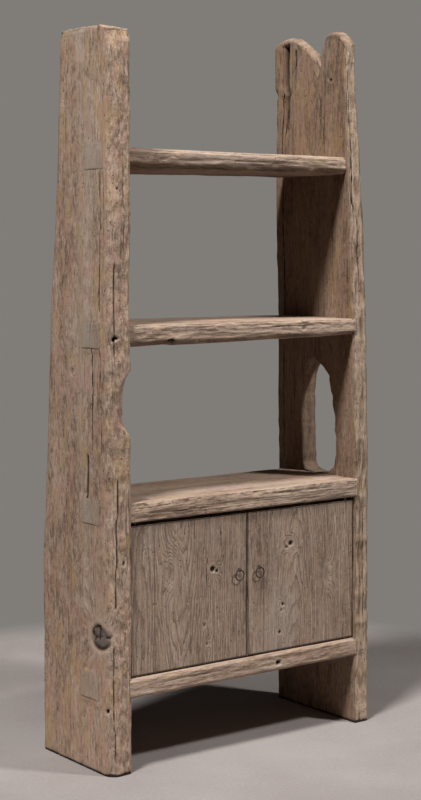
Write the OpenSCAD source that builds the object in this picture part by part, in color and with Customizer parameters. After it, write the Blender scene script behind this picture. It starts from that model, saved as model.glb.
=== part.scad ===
// Tall open shelf unit with a two-door cupboard at its foot, hung between two live-edge slabs.
// Millimetres, +Z up. The origin is on the floor, in the middle of the footprint.
// +X points to the right-hand slab and +Y to the back.

/* [Overall] */
// Width over both slabs
overall_w = 1000; // [800:1:1300]
// Depth over both slabs
overall_d = 440; // [365:1:560]

/* [Heights] */
// Floor to the underside of the bottom board
foot_h = 218; // [120:1:320]
// Clear height of the cupboard
cupboard_h = 452; // [370:1:640]
// Clear height of the open bay above the cupboard
lower_bay_h = 442; // [365:1:560]
// Clear height of the open bay under the top shelf
upper_bay_h = 437; // [300:1:560]
// Top shelf to the tip of the right-hand slab
crown_h = 398; // [320:1:520]
// How much shorter the left-hand slab is
left_slab_drop = 65; // [20:1:150]

/* [Slabs] */
// Thickness of the left-hand slab
left_slab_t = 82; // [66:1:110]
// Thickness of the right-hand slab
right_slab_t = 66; // [54:1:90]
// Depth of the housings that hold the shelf ends
housing_depth = 15; // [8:1:18]
// Radius of the left slab's outer front corner
slab_corner_r = 36; // [10:1:45]

/* [Shelves] */
// Thickness of the bottom board
bottom_board_t = 60; // [44:1:75]
// Thickness of the cupboard's top
cupboard_top_t = 60; // [44:1:75]
// Thickness of the middle shelf
middle_shelf_t = 67; // [44:1:75]
// Thickness of the top shelf
top_shelf_t = 66; // [44:1:75]
// Depth of the bottom board and of the cupboard's top
cupboard_d = 344; // [250:1:350]
// Depth of the middle shelf
middle_shelf_d = 359; // [250:1:365]
// Depth of the top shelf
top_shelf_d = 305; // [220:1:310]

/* [Doors] */
// Thickness of a door
door_t = 24; // [18:1:30]
// Width of the narrow plank in the left door
left_narrow_w = 82; // [50:1:150]
// Width of the narrow plank in the right door
right_narrow_w = 63; // [40:1:150]
// Height of a door batten
batten_h = 60; // [30:1:80]
// Gap beside, between and below the doors
door_gap = 3; // [2:0.5:6]
// Gap above the doors
door_head_gap = 10; // [5:1:16]

/* [Ring pulls] */
// Outside diameter of a ring
ring_od = 35; // [24:1:46]
// Thickness of the ring's wire
ring_wire = 4; // [3:0.5:5]
// Height of the pulls below the top of the doors
pull_drop = 168; // [120:1:260]

/* [Back] */
// Thickness of the back boards
back_board_t = 14; // [8:1:22]

/* [Hidden] */
$fn = 48;

elm = [0.56, 0.47, 0.41];
pale_elm = [0.60, 0.51, 0.45];
door_elm = [0.50, 0.42, 0.37];
dark_iron = [0.22, 0.19, 0.17];
zinc = [0.66, 0.67, 0.68];
brass = [0.72, 0.58, 0.32];
brown_plastic = [0.35, 0.25, 0.18];

// Planes and levels that the pieces share
half_w = overall_w / 2;
front_y = -overall_d / 2;
back_y = overall_d / 2;
left_in = -half_w + left_slab_t;
right_in = half_w - right_slab_t;
seam_x = (left_in + right_in) / 2;

board_z = foot_h;
board_top = board_z + bottom_board_t;
cupboard_z = board_top + cupboard_h;
cupboard_top_z = cupboard_z + cupboard_top_t;
middle_z = cupboard_top_z + lower_bay_h;
middle_top_z = middle_z + middle_shelf_t;
top_z = middle_top_z + upper_bay_h;
top_top_z = top_z + top_shelf_t;
overall_h = top_top_z + crown_h;
left_h = overall_h - left_slab_drop;

// Front edge of each shelf, measured back from the foremost plane
cupboard_front = front_y + 17;
middle_front = front_y + 30;
top_front = front_y + 68;
cupboard_back = cupboard_front + cupboard_d;

// Shelves: underside, thickness, front edge, depth, top arris radius, lower arris radius
shelf_z = [board_z, cupboard_z, middle_z, top_z];
shelf_t = [bottom_board_t, cupboard_top_t, middle_shelf_t, top_shelf_t];
shelf_front = [cupboard_front, cupboard_front, middle_front, top_front];
shelf_d = [cupboard_d, cupboard_d, middle_shelf_d, top_shelf_d];
shelf_top_r = [5, 4, 9, 12];
shelf_low_r = [5, 4, 16, 22];
housing_fit = 0.4;
shoulder = 3;

// Screws and plugs at the shelf ends
plug_w = 96;
plug_h = 80;
plug_t = 11;
pocket_depth = 18;
left_plug_inset = [126, 114, 108, 84];
right_plug_inset = [126, 122, 132, 178];
lag_r = 4;
lag_head_r = 8;
lag_head_t = 6;
lag_reach = 70;
lag_pitch = 52;
lag_edge = 18;
bore_fit = 0.2;

// Wane that slants away the left slab's outer back corner, more and more towards the top
wane_y = back_y - 52;
wane_z = 335;
wane_run = 136;
wane_rise = 1800;
wane_w = 123;
wane_lean = atan(wane_run / wane_rise);
wane_turn = atan(wane_w / left_slab_t);

// Hollow worn into the left slab's inner front corner, under the middle shelf
bite_drop = 159;
bite_half_h = 95;
bite_depth = 40;
bite_inset = 7;
bite_r = (pow(bite_half_h, 2) + pow(bite_depth, 2)) / (2 * bite_depth);

// Pointed hole through the right slab, from the cupboard's top to under the middle shelf
hole_front = front_y + 127;
hole_w = 156;
hole_sill = 4;
hole_head = 71;
hole_h = lower_bay_h - hole_sill - hole_head;

// Doors
door_front = cupboard_front + 13;
door_back = door_front + door_t;
door_z = board_top + door_gap;
door_h = cupboard_h - door_gap - door_head_gap;
door_w = (right_in - left_in - 3 * door_gap) / 2;
door_arris = 4;
left_door_x = left_in + door_gap;
right_door_x = seam_x + door_gap / 2;
pivot_inset = 22;
pivot_y = door_front + 13;
left_pivot_x = left_door_x + pivot_inset;
right_pivot_x = right_door_x + door_w - pivot_inset;

pin_r = 4;
pin_fit = 0.05;
pin_in_door = 30;
pin_in_bush = 14;
bush_r = 6;
bush_len = 16;
flange_r = 10;
flange_t = 2;
collar_r = 7;

batten_t = 20;
batten_inset = 40;
batten_low = 60;
batten_head = 50;
batten_screw_r = 2;
batten_screw_len = 36;
batten_screw_edge = 10;
batten_screw_inset = 25;
batten_screw_pitch = 120;
batten_z = [door_z + batten_low, door_z + door_h - batten_head - batten_h];

// Door stop and catches, under the cupboard's top
stop_gap = 0.5;
stop_d = 22;
stop_h = 24;
stop_end_gap = 2;
swing_r = sqrt(pow(pivot_inset, 2) + pow(max(pivot_y - door_front, door_back - pivot_y), 2));
stop_left = left_pivot_x + swing_r + stop_end_gap;
stop_right = right_pivot_x - swing_r - stop_end_gap;
stop_screw_r = 2;
stop_screw_reach = 18;
stop_screw_x = [seam_x, left_in + 90, right_in - 90];
catch_w = 40;
catch_d = 26;
catch_h = 12;
catch_offset = 32;
catch_screw_pitch = 24;
catch_screw_r = 1.5;
catch_screw_len = 26;
pan_r = 4;
pan_t = 2.4;
strike_t = 1.5;
strike_w = 34;
strike_screw_r = 1.5;
strike_screw_head_r = 3;
strike_screw_len = 14;
catch_gap = 0.4;
stop_y = door_back + stop_gap;
catch_y = door_back + strike_t + catch_gap;
catch_z = cupboard_z - stop_h - catch_h;
left_strike_x = seam_x - catch_offset;
right_strike_x = seam_x + catch_offset;

// Ring pulls
left_pull_x = seam_x - 35;
right_pull_x = seam_x + 42;
pull_z = door_z + door_h - pull_drop;
eye_r = 5.2;
eye_wire_r = 1.3;
eye_stand = 8.5;
eye_leg_r = 2;
washer_r = 7;
washer_t = 1.2;
bent_end_r = 1.2;
bent_end_len = 26;
ring_r = (ring_od - ring_wire) / 2;
ring_slack = 0.3;
ring_top = eye_r - eye_wire_r - ring_wire / 2 - ring_slack;

// Back
back_count = 4;
back_gap = 1.5;
back_side_fit = 1;
back_w = (right_in - left_in - 2 * back_side_fit - (back_count - 1) * back_gap) / back_count;
back_low_inset = 4;
back_high_inset = 15;
back_low = board_z + back_low_inset;
back_high = cupboard_top_z - back_high_inset;
nail_r = 1.5;
nail_len = 40;
nail_head_r = 3.5;
nail_head_t = 1.2;
nail_inset = 34;
nail_level_in_board = bottom_board_t / 2;
nail_level_in_top = 22;

// ---- Helpers ----

// Point at share t of the smooth curve between points i and i + 1
function curve_point(p, i, t) = let (
    n = len(p),
    a = p[max(i - 1, 0)],
    b = p[i],
    c = p[min(i + 1, n - 1)],
    d = p[min(i + 2, n - 1)]
) (2 * b + (c - a) * t + (2 * a - 5 * b + 4 * c - d) * t * t + (3 * b - a - 3 * c + d) * t * t * t) / 2;

// Smooth curve through all points, each stretch cut into steps
function flowing(p, steps) = [
    for (i = [0 : len(p) - 2]) for (s = [0 : steps - 1]) curve_point(p, i, s / steps),
    p[len(p) - 1]
];

// Outline kept inside the slabs' depth and under a height
function kept(p, high) = [for (q = p) [min(max(q[0], front_y), back_y), min(q[1], high)]];

// Side outline, as [y, z], extruded along X from x
module from_side(x, length) {
    translate([x, 0, 0]) rotate([90, 0, 90]) linear_extrude(length) children();
}

module rod_x(r, length) rotate([0, 90, 0]) cylinder(r = r, h = length);
module rod_y(r, length) rotate([-90, 0, 0]) cylinder(r = r, h = length);

// Closed wire ring about the Z axis
module wire_ring(r, wire_r) rotate_extrude() translate([r, 0]) circle(r = wire_r);

// Section of shelf i, a plank with its two front arrises rounded; drop lowers its top
module shelf_section(i, fit = 0, drop = 0) {
    d = shelf_d[i] + 2 * fit;
    t = shelf_t[i] + fit - drop;
    translate([shelf_front[i] - fit, shelf_z[i]]) difference() {
        square([d, t]);
        translate([0, t]) mirror([0, 1]) corner_waste(shelf_top_r[i]);
        corner_waste(shelf_low_r[i]);
    }
}

// What a rounded corner at the origin loses
module corner_waste(r) difference() {
    translate([-1, -1]) square(r + 1);
    translate([r, r]) circle(r = r);
}

// Shelf i between the slabs, with a tongue at each end whose top is shouldered down
module shelf(i) {
    from_side(left_in, right_in - left_in) shelf_section(i);
    for (x = [left_in - housing_depth, right_in - shoulder])
        from_side(x, housing_depth + shoulder) shelf_section(i, 0, shoulder);
}

// Housings for all four tongues, cut into a slab whose inner face is at x
module housings(x) {
    for (i = [0 : 3])
        from_side(x - housing_depth, 2 * housing_depth) shelf_section(i, housing_fit, shoulder);
}

// ---- Slab ends: pockets, lag screws and plugs ----

// side is -1 for the left slab and 1 for the right
function plug_y(i, side) = front_y + (side < 0 ? left_plug_inset[i] : right_plug_inset[i]);
function plug_z(i) = shelf_z[i] + shelf_t[i] / 2;
function slab_t(side) = side < 0 ? left_slab_t : right_slab_t;
function lag_len(side) = slab_t(side) - pocket_depth - housing_depth + lag_reach;

// Puts children, drawn along +X from the outer face inwards, at shelf i's end
module at_shelf_end(i, side) {
    translate([side * half_w, plug_y(i, side), plug_z(i)]) mirror([side > 0 ? 1 : 0, 0, 0]) children();
}

module plug_block(depth, fit) {
    translate([0, -plug_w / 2 - fit, -plug_h / 2 - fit]) cube([depth, plug_w + 2 * fit, plug_h + 2 * fit]);
}

// Two screws behind a plug, the front one never nearer the shelf's front edge than lag_edge
module lag_pair(i, side, fit) {
    front = max(-lag_pitch / 2, shelf_front[i] + lag_edge - plug_y(i, side));
    for (y = [front, lag_pitch / 2]) translate([pocket_depth, y, 0]) {
        rod_x(lag_r + fit, lag_len(side));
        if (fit == 0) translate([-lag_head_t, 0, 0]) rod_x(lag_head_r, lag_head_t);
    }
}

module slab_fixings(side) {
    for (i = [0 : 3]) at_shelf_end(i, side) {
        translate([-1, 0, 0]) plug_block(pocket_depth + 1, 0);
        lag_pair(i, side, bore_fit);
    }
}

module shelf_bores(i) {
    for (side = [-1, 1]) at_shelf_end(i, side) lag_pair(i, side, bore_fit);
}

module lag_screws(side) {
    for (i = [0 : 3]) at_shelf_end(i, side) lag_pair(i, side, 0);
}

module slab_plugs(side) {
    for (i = [0 : 3]) at_shelf_end(i, side) plug_block(plug_t, -0.2);
}

// ---- Slabs ----

// Left slab, seen from the side: front edge up, top, back edge down
function left_outline() = concat(
    flowing([
        [front_y + 16, 0], [front_y + 13, left_h * 0.16], [front_y + 9, left_h * 0.25],
        [front_y + 12, left_h * 0.37], [front_y + 5, left_h * 0.52], [front_y + 12, left_h * 0.65],
        [front_y + 1, left_h * 0.74], [front_y + 6, left_h * 0.82], [front_y, left_h * 0.92],
        [front_y + 3, left_h * 0.98], [front_y + 15, left_h]
    ], 5),
    flowing([
        [back_y - 34, left_h], [back_y - 30, left_h * 0.9], [back_y - 30, left_h * 0.45],
        [back_y - 42, left_h * 0.28], [back_y - 50, left_h * 0.15], [back_y - 50, 0]
    ], 5)
);

module left_wane() {
    translate([-half_w, wane_y, wane_z]) rotate([wane_lean, 0, 0]) rotate([0, 0, wane_turn])
        translate([-overall_d, 0, -overall_h]) cube([2 * overall_d, overall_d, 3 * overall_h]);
}

module left_bite() {
    translate([left_in, front_y + bite_inset, middle_z - bite_drop]) rotate([0, 0, 45])
        translate([-left_slab_t, bite_depth - bite_r, 0]) rod_x(bite_r, 2 * left_slab_t);
}

module left_slab() {
    color(elm) difference() {
        from_side(-half_w, left_slab_t) polygon(kept(left_outline(), left_h));
        left_wane();
        left_bite();
        translate([-half_w, front_y, -1]) linear_extrude(left_h + 2) corner_waste(slab_corner_r);
        housings(left_in);
        slab_fixings(-1);
    }
}

// Right slab's forked top: share of the slab's depth, and drop below the highest point
fork = [
    [0.18, 90], [0.20, 38], [0.28, 5], [0.39, 4], [0.45, 33], [0.455, 91], [0.50, 132],
    [0.535, 97], [0.58, 55], [0.65, 35], [0.74, 8], [0.85, 0], [0.945, 8], [0.993, 30]
];

function right_outline() = concat(
    flowing([
        [front_y + 14, 0], [front_y + 15, overall_h * 0.10], [front_y + 18, overall_h * 0.36],
        [front_y + 34, overall_h * 0.59], [front_y + 50, overall_h * 0.72],
        [front_y + 62, overall_h * 0.82], [front_y + 76, overall_h * 0.91]
    ], 4),
    flowing([for (q = fork) [front_y + q[0] * overall_d, overall_h - q[1]]], 3),
    flowing([
        [back_y, overall_h - 81], [back_y - 2, overall_h - 150], [back_y - 13, overall_h - 175],
        [back_y - 4, overall_h - 240], [back_y - 1, overall_h * 0.81], [back_y - 14, overall_h * 0.66],
        [back_y - 22, overall_h * 0.55], [back_y - 27, overall_h * 0.36], [back_y - 26, 0]
    ], 3)
);

// The hole's outline: share of its width, share of its height
arch = [
    [0.10, 0], [0.02, 0.18], [0, 0.48], [0.10, 0.70], [0.17, 0.85], [0.37, 0.94], [0.67, 1],
    [0.90, 0.93], [0.98, 0.78], [1, 0.30], [0.98, 0]
];

module right_hole() {
    from_side(right_in - 1, right_slab_t + 2)
        polygon(flowing([for (q = arch)
            [hole_front + q[0] * hole_w, cupboard_top_z + hole_sill + q[1] * hole_h]], 3));
}

module right_slab() {
    color(elm) difference() {
        from_side(right_in, right_slab_t) polygon(kept(right_outline(), overall_h));
        right_hole();
        housings(right_in);
        slab_fixings(1);
    }
}

// ---- Shelves ----

module bottom_board() {
    color(pale_elm) difference() {
        shelf(0);
        shelf_bores(0);
        pivot_sockets();
        back_nail_bores(board_z + nail_level_in_board);
    }
}

module cupboard_top() {
    color(pale_elm) difference() {
        shelf(1);
        shelf_bores(1);
        pivot_sockets();
        back_nail_bores(cupboard_z + nail_level_in_top);
        stop_rail_screw_set(bore_fit);
    }
}

module middle_shelf() {
    color(pale_elm) difference() {
        shelf(2);
        shelf_bores(2);
    }
}

module top_shelf() {
    color(pale_elm) difference() {
        shelf(3);
        shelf_bores(3);
    }
}

// ---- Back ----

function back_x(i) = left_in + back_side_fit + i * (back_w + back_gap);

module back_board(i) {
    color(door_elm) difference() {
        translate([back_x(i), cupboard_back, back_low]) cube([back_w, back_board_t, back_high - back_low]);
        back_nail_bores(board_z + nail_level_in_board);
        back_nail_bores(cupboard_z + nail_level_in_top);
    }
}

module at_back_nails(z) {
    for (i = [0 : back_count - 1]) for (x = [nail_inset, back_w - nail_inset])
        translate([back_x(i) + x, cupboard_back + back_board_t - nail_len, z]) children();
}

module back_nail_bores(z) at_back_nails(z) rod_y(nail_r + bore_fit / 2, nail_len + 1);

module back_nails() {
    color(dark_iron) for (z = [board_z + nail_level_in_board, cupboard_z + nail_level_in_top])
        at_back_nails(z) {
            rod_y(nail_r, nail_len);
            translate([0, nail_len, 0]) rod_y(nail_head_r, nail_head_t);
        }
}

// ---- Door stop and catches ----

module stop_rail() {
    color(door_elm) difference() {
        translate([stop_left, stop_y, cupboard_z - stop_h])
            cube([stop_right - stop_left, stop_d, stop_h]);
        stop_rail_screw_set(bore_fit);
        catch_screw_set(bore_fit);
    }
}

module stop_rail_screw_set(fit) {
    for (x = stop_screw_x) translate([x, stop_y + stop_d / 2, cupboard_z - stop_h]) {
        cylinder(r = stop_screw_r + fit, h = stop_h + stop_screw_reach);
        if (fit == 0) translate([0, 0, -pan_t]) cylinder(r = pan_r, h = pan_t);
    }
}

module stop_rail_screws() color(zinc) stop_rail_screw_set(0);

module magnet_catches() {
    color(brown_plastic) difference() {
        for (side = [-1, 1]) translate([seam_x + side * catch_offset - catch_w / 2, catch_y, catch_z])
            cube([catch_w, catch_d, catch_h]);
        catch_screw_set(bore_fit);
    }
}

module catch_screw_set(fit) {
    for (side = [-1, 1]) for (end = [-0.5, 0.5])
        translate([seam_x + side * catch_offset + end * catch_screw_pitch, stop_y + stop_d / 2, catch_z]) {
            cylinder(r = catch_screw_r + fit, h = catch_screw_len);
            if (fit == 0) translate([0, 0, -pan_t]) cylinder(r = 2 * catch_screw_r, h = pan_t);
        }
}

module catch_screws() color(zinc) catch_screw_set(0);

// ---- Pivots ----

module at_pivots() for (x = [left_pivot_x, right_pivot_x]) translate([x, pivot_y, 0]) children();

module pivot_sockets() at_pivots() {
    translate([0, 0, board_top - bush_len]) cylinder(r = bush_r, h = bush_len + 1);
    translate([0, 0, cupboard_z - 1]) cylinder(r = bush_r, h = bush_len + 1);
}

// Flanged bush with its mouth at the origin, sunk downwards
module bush() difference() {
    union() {
        translate([0, 0, -bush_len]) cylinder(r = bush_r, h = bush_len);
        cylinder(r = flange_r, h = flange_t);
    }
    translate([0, 0, -bush_len - 1]) cylinder(r = pin_r + pin_fit, h = bush_len + flange_t + 2);
}

module pivot_bushes() color(brass) at_pivots() {
    translate([0, 0, board_top]) bush();
    translate([0, 0, cupboard_z]) mirror([0, 0, 1]) bush();
}

module pivot_pins(x) color(zinc) translate([x, pivot_y, 0]) {
    translate([0, 0, board_top - pin_in_bush])
        cylinder(r = pin_r, h = pin_in_bush + door_gap + pin_in_door);
    translate([0, 0, board_top + flange_t + pin_fit])
        cylinder(r = collar_r, h = door_gap - flange_t - pin_fit);
    translate([0, 0, door_z + door_h - pin_in_door])
        cylinder(r = pin_r, h = pin_in_door + door_head_gap + pin_in_bush);
}

module pin_bores(x) translate([x, pivot_y, 0]) {
    translate([0, 0, door_z - 1]) cylinder(r = pin_r, h = pin_in_door + 1);
    translate([0, 0, door_z + door_h - pin_in_door]) cylinder(r = pin_r, h = pin_in_door + 1);
}

// ---- Doors ----

// Plank of a door from x, w wide; the arrises at its hinge edge are rounded
module door_plank(x, w, round_left, round_right) {
    translate([x, door_front, door_z]) linear_extrude(door_h) difference() {
        square([w, door_t]);
        if (round_left) for (m = [0, 1]) translate([0, m * door_t]) mirror([0, m]) corner_waste(door_arris);
        if (round_right) for (m = [0, 1])
            translate([w, m * door_t]) mirror([1, 0]) mirror([0, m]) corner_waste(door_arris);
    }
}

module battens(x) {
    for (z = batten_z) translate([x + batten_inset, door_back, z])
        cube([door_w - 2 * batten_inset, batten_t, batten_h]);
}

// Screws through the battens: two in the narrow plank's width, two in the wide one's
module batten_screw_set(x, narrow_w, fit) {
    near = max(narrow_w / 2, batten_inset + batten_screw_edge);
    far = door_w - batten_inset - batten_screw_inset;
    mid = (near + far) / 2;
    half = batten_screw_pitch / 2;
    for (z = batten_z) for (sx = [near, mid - half, mid + half, far])
        translate([x + sx, door_back + batten_t - batten_screw_len, z + batten_h / 2]) {
            rod_y(batten_screw_r + fit, batten_screw_len + fit);
            if (fit == 0) translate([0, batten_screw_len, 0]) rod_y(pan_r, pan_t);
        }
}

module door_bores(x, narrow_w, pivot_x, pull_x, strike_x) {
    batten_screw_set(x, narrow_w, bore_fit / 2);
    pin_bores(pivot_x);
    translate([pull_x, door_front - 1, pull_z]) rod_y(eye_leg_r + bore_fit, door_t + 2);
    strike_screw_at(strike_x, bore_fit / 2);
}

module strike_plate(x) color(zinc) difference() {
    translate([x - strike_w / 2, door_back, catch_z]) cube([strike_w, strike_t, catch_h]);
    strike_screw_at(x, bore_fit / 2);
}

// Sunk screw, flush with the strike plate
module strike_screw_at(x, fit) {
    translate([x, door_back + strike_t, catch_z + catch_h / 2]) rotate([90, 0, 0]) {
        cylinder(r = strike_screw_r + fit, h = strike_screw_len);
        cylinder(r1 = strike_screw_head_r + fit, r2 = strike_screw_r + fit, h = strike_t);
    }
}

module left_bores() door_bores(left_door_x, left_narrow_w, left_pivot_x, left_pull_x, left_strike_x);
module right_bores() door_bores(right_door_x, right_narrow_w, right_pivot_x, right_pull_x, right_strike_x);

module left_door_narrow_plank() color(door_elm) difference() {
    door_plank(left_door_x, left_narrow_w, true, false);
    left_bores();
}
module left_door_wide_plank() color(door_elm) difference() {
    door_plank(left_door_x + left_narrow_w, door_w - left_narrow_w, false, false);
    left_bores();
}
module right_door_narrow_plank() color(door_elm) difference() {
    door_plank(right_door_x, right_narrow_w, false, false);
    right_bores();
}
module right_door_wide_plank() color(door_elm) difference() {
    door_plank(right_door_x + right_narrow_w, door_w - right_narrow_w, false, true);
    right_bores();
}
module left_door_battens() color(elm) difference() {
    battens(left_door_x);
    batten_screw_set(left_door_x, left_narrow_w, bore_fit / 2);
}
module right_door_battens() color(elm) difference() {
    battens(right_door_x);
    batten_screw_set(right_door_x, right_narrow_w, bore_fit / 2);
}
module left_batten_screws() color(zinc) batten_screw_set(left_door_x, left_narrow_w, 0);
module right_batten_screws() color(zinc) batten_screw_set(right_door_x, right_narrow_w, 0);

// ---- Ring pulls ----

// Split-pin eye: a loop in front, a leg through the door, two ends bent over the washer
module pull_eye(x) color(dark_iron) translate([x, door_front, pull_z]) {
    translate([0, -eye_stand, 0]) rotate([0, 90, 0]) wire_ring(eye_r, eye_wire_r);
    translate([0, -eye_stand + eye_r, 0])
        rod_y(eye_leg_r, eye_stand - eye_r + door_t + washer_t + eye_leg_r);
    translate([-bent_end_len / 2, door_t + washer_t + bent_end_r, 0]) rod_x(bent_end_r, bent_end_len);
}

module pull_washer(x) color(dark_iron) translate([x, door_back, pull_z]) difference() {
    rod_y(washer_r, washer_t);
    translate([0, -1, 0]) rod_y(eye_leg_r + bore_fit, washer_t + 2);
}

module pull_ring(x) color(dark_iron)
    translate([x, door_front - eye_stand, pull_z - ring_top - ring_r]) rotate([90, 0, 0])
        wire_ring(ring_r, ring_wire / 2);

// ---- Drawing ----

left_slab();
right_slab();
bottom_board();
cupboard_top();
middle_shelf();
top_shelf();
back_board(0);  // back_board_1
back_board(1);  // back_board_2
back_board(2);  // back_board_3
back_board(3);  // back_board_4
back_nails();
stop_rail();
stop_rail_screws();
magnet_catches();
catch_screws();
pivot_bushes();
color(zinc) lag_screws(-1);  // left_shelf_screws
color(zinc) lag_screws(1);  // right_shelf_screws
color(pale_elm) slab_plugs(-1);  // left_slab_plugs
color(pale_elm) slab_plugs(1);  // right_slab_plugs
left_door_narrow_plank();
left_door_wide_plank();
left_door_battens();
left_batten_screws();
pivot_pins(left_pivot_x);  // left_pivot_pins
strike_plate(left_strike_x);  // left_strike_plate
color(zinc) strike_screw_at(left_strike_x, 0);  // left_strike_screw
pull_eye(left_pull_x);  // left_pull_eye
pull_washer(left_pull_x);  // left_pull_washer
pull_ring(left_pull_x);  // left_pull_ring
right_door_narrow_plank();
right_door_wide_plank();
right_door_battens();
right_batten_screws();
pivot_pins(right_pivot_x);  // right_pivot_pins
strike_plate(right_strike_x);  // right_strike_plate
color(zinc) strike_screw_at(right_strike_x, 0);  // right_strike_screw
pull_eye(right_pull_x);  // right_pull_eye
pull_washer(right_pull_x);  // right_pull_washer
pull_ring(right_pull_x);  // right_pull_ring
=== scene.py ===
import math
import bmesh
import bpy
import numpy as np
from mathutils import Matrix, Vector


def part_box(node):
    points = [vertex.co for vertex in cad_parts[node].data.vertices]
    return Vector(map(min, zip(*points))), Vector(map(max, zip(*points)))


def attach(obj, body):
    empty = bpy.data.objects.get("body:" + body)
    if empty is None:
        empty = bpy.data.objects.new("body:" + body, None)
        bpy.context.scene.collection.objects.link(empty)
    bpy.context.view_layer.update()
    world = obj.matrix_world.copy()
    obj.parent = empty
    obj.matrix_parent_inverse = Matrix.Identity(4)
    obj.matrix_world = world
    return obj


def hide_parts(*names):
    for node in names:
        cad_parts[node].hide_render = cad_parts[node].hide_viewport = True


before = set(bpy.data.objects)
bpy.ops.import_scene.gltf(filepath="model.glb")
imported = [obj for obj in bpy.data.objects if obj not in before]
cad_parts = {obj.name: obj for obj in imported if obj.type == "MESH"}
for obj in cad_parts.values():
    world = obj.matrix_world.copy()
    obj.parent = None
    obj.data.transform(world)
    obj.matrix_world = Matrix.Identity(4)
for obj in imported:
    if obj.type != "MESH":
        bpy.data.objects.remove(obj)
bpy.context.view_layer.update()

millimetre = 0.001
noiseCells = 32  # the noise repeats after this many cells
noiseSlice = 0.37  # where a field on two numbers cuts through the noise
axisNumber = {"x": 0, "y": 1, "z": 2}
sides = ("left", "right")
slitHalf = 0.000001  # half the distance between the two columns of a slit
slitClear = 0.0025  # no other column lies nearer to a slit


# Smooth random field: seeded lattice values, blended along each axis with the weight 3t^2 - 2t^3
def softNoise(points, scale, seed):
    lattice = np.random.default_rng(seed).uniform(-1, 1, (noiseCells,) * 3)
    stretched = points * np.asarray(scale, float)
    cell = np.floor(stretched).astype(int)
    share = stretched - cell
    share = share * share * (3 - 2 * share)
    total = 0
    for corner in range(8):
        bit = np.array([corner & 1, corner >> 1 & 1, corner >> 2 & 1])
        index = (cell + bit) % noiseCells
        weight = np.prod(np.where(bit == 1, share, 1 - share), axis=-1)
        total = total + weight * lattice[index[..., 0], index[..., 1], index[..., 2]]
    return total


# Octaves of the field, each twice as fine and half as strong as the one before
def roughNoise(points, scale, seed, octaves=3):
    total = 0
    for octave in range(octaves):
        total = total + softNoise(points, np.asarray(scale, float) * 2 ** octave, seed + octave) / 2 ** octave
    return total


# Field on two numbers, for edges and lines
def lineNoise(a, b, scaleA, scaleB, seed, octaves=2):
    a, b = np.broadcast_arrays(np.asarray(a, float), np.asarray(b, float))
    points = np.stack([a * scaleA, b * scaleB, a * 0 + noiseSlice], axis=-1)
    return roughNoise(points, (1, 1, 1), seed, octaves)


# 0 below low and 1 above high; between them 3t^2 - 2t^3, where t is the share of the way
def smoothStep(low, high, value):
    share = np.clip((value - low) / (high - low), 0, 1)
    return share * share * (3 - 2 * share)


# Even stations between two places, with close-set ones added around the marks
def stations(low, high, step, marks=(), markSteps=(-4, -2, 0, 2, 4)):
    even = np.linspace(low, high, max(2, int(round((high - low) / step)) + 1))
    close = [m + s * millimetre for m in marks for s in markSteps if low < m + s * millimetre < high]
    merged = np.unique(np.concatenate([even, np.array(close, float)]))
    least = 0.9 * millimetre
    keep = np.concatenate([[True], np.diff(merged) > least])
    return merged[keep]


# Rounded rectangle walked once round: front edge, far face, back edge, near face, with quarter circles
# between. Gives each point's place, u through the thickness and w across the width, and its outward
# direction.
def sectionLoop(thick, wide, radii, faceStations, edgeStep, arcSteps):
    rNearFront, rFarFront, rFarBack, rNearBack = radii
    points = []

    def run(us, ws, direction):
        us, ws = np.broadcast_arrays(np.asarray(us, float), np.asarray(ws, float))
        points.append(np.stack([us, ws, us * 0 + direction[0], us * 0 + direction[1]], axis=1))

    def arc(centreU, centreW, radius, start):
        turn = np.radians(start + np.linspace(0, 90, arcSteps + 2)[1:-1])
        points.append(np.stack([centreU + radius * np.cos(turn), centreW + radius * np.sin(turn),
                                np.cos(turn), np.sin(turn)], axis=1))

    edge = max(2, int(round((thick - rNearFront - rFarFront) / edgeStep)) + 1)
    run(np.linspace(rNearFront, thick - rFarFront, edge), 0, (0, -1))
    arc(thick - rFarFront, rFarFront, rFarFront, -90)
    run(thick, faceStations, (1, 0))
    arc(thick - rFarBack, wide - rFarBack, rFarBack, 0)
    backStep = edgeStep * 1.6  # the back edge is seen less
    edge = max(2, int(round((thick - rNearBack - rFarBack) / backStep)) + 1)
    run(np.linspace(thick - rFarBack, rNearBack, edge), wide, (0, 1))
    arc(rNearBack, wide - rNearBack, rNearBack, 90)
    run(0, faceStations[::-1], (-1, 0))
    arc(rNearFront, rNearFront, rNearFront, 180)
    return np.concatenate(points)


# The section carried along the length, with each end rounded over and closed onto the board's middle line.
# Returns l, u, w and the outward direction along each, as arrays of rows by columns.
def boardGrid(thick, wide, section, rows, endRadius):
    capRings = 5
    u, w, nu, nw = section.T
    middleU = u * 0 + thick / 2
    middleW = np.clip(w, thick / 2, wide - thick / 2) if wide > thick else u * 0 + wide / 2
    length = rows[-1]
    layers = []
    turns = np.radians([60, 30])
    for end, sign in ((0, -1), (length, 1)):
        cap = []
        for share in np.linspace(1, 0, capRings + 1):
            cu = (u - nu * endRadius) * (1 - share) + middleU * share
            cw = (w - nw * endRadius) * (1 - share) + middleW * share
            cap.append((cu * 0 + end, cu, cw, u * 0 + sign, nu * 0, nw * 0))
        for turn in turns:
            inset = endRadius * (1 - math.cos(turn))
            cap.append((u * 0 + end - sign * endRadius * (1 - math.sin(turn)), u - nu * inset, w - nw * inset,
                        u * 0 + sign * math.sin(turn), nu * math.cos(turn), nw * math.cos(turn)))
        layers.append(cap)
    body = [(u * 0 + row, u, w, u * 0, nu, nw) for row in rows if endRadius <= row <= length - endRadius]
    stack = layers[0] + body + layers[1][::-1]
    return [np.array([layer[i] for layer in stack]) for i in range(6)]


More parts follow.
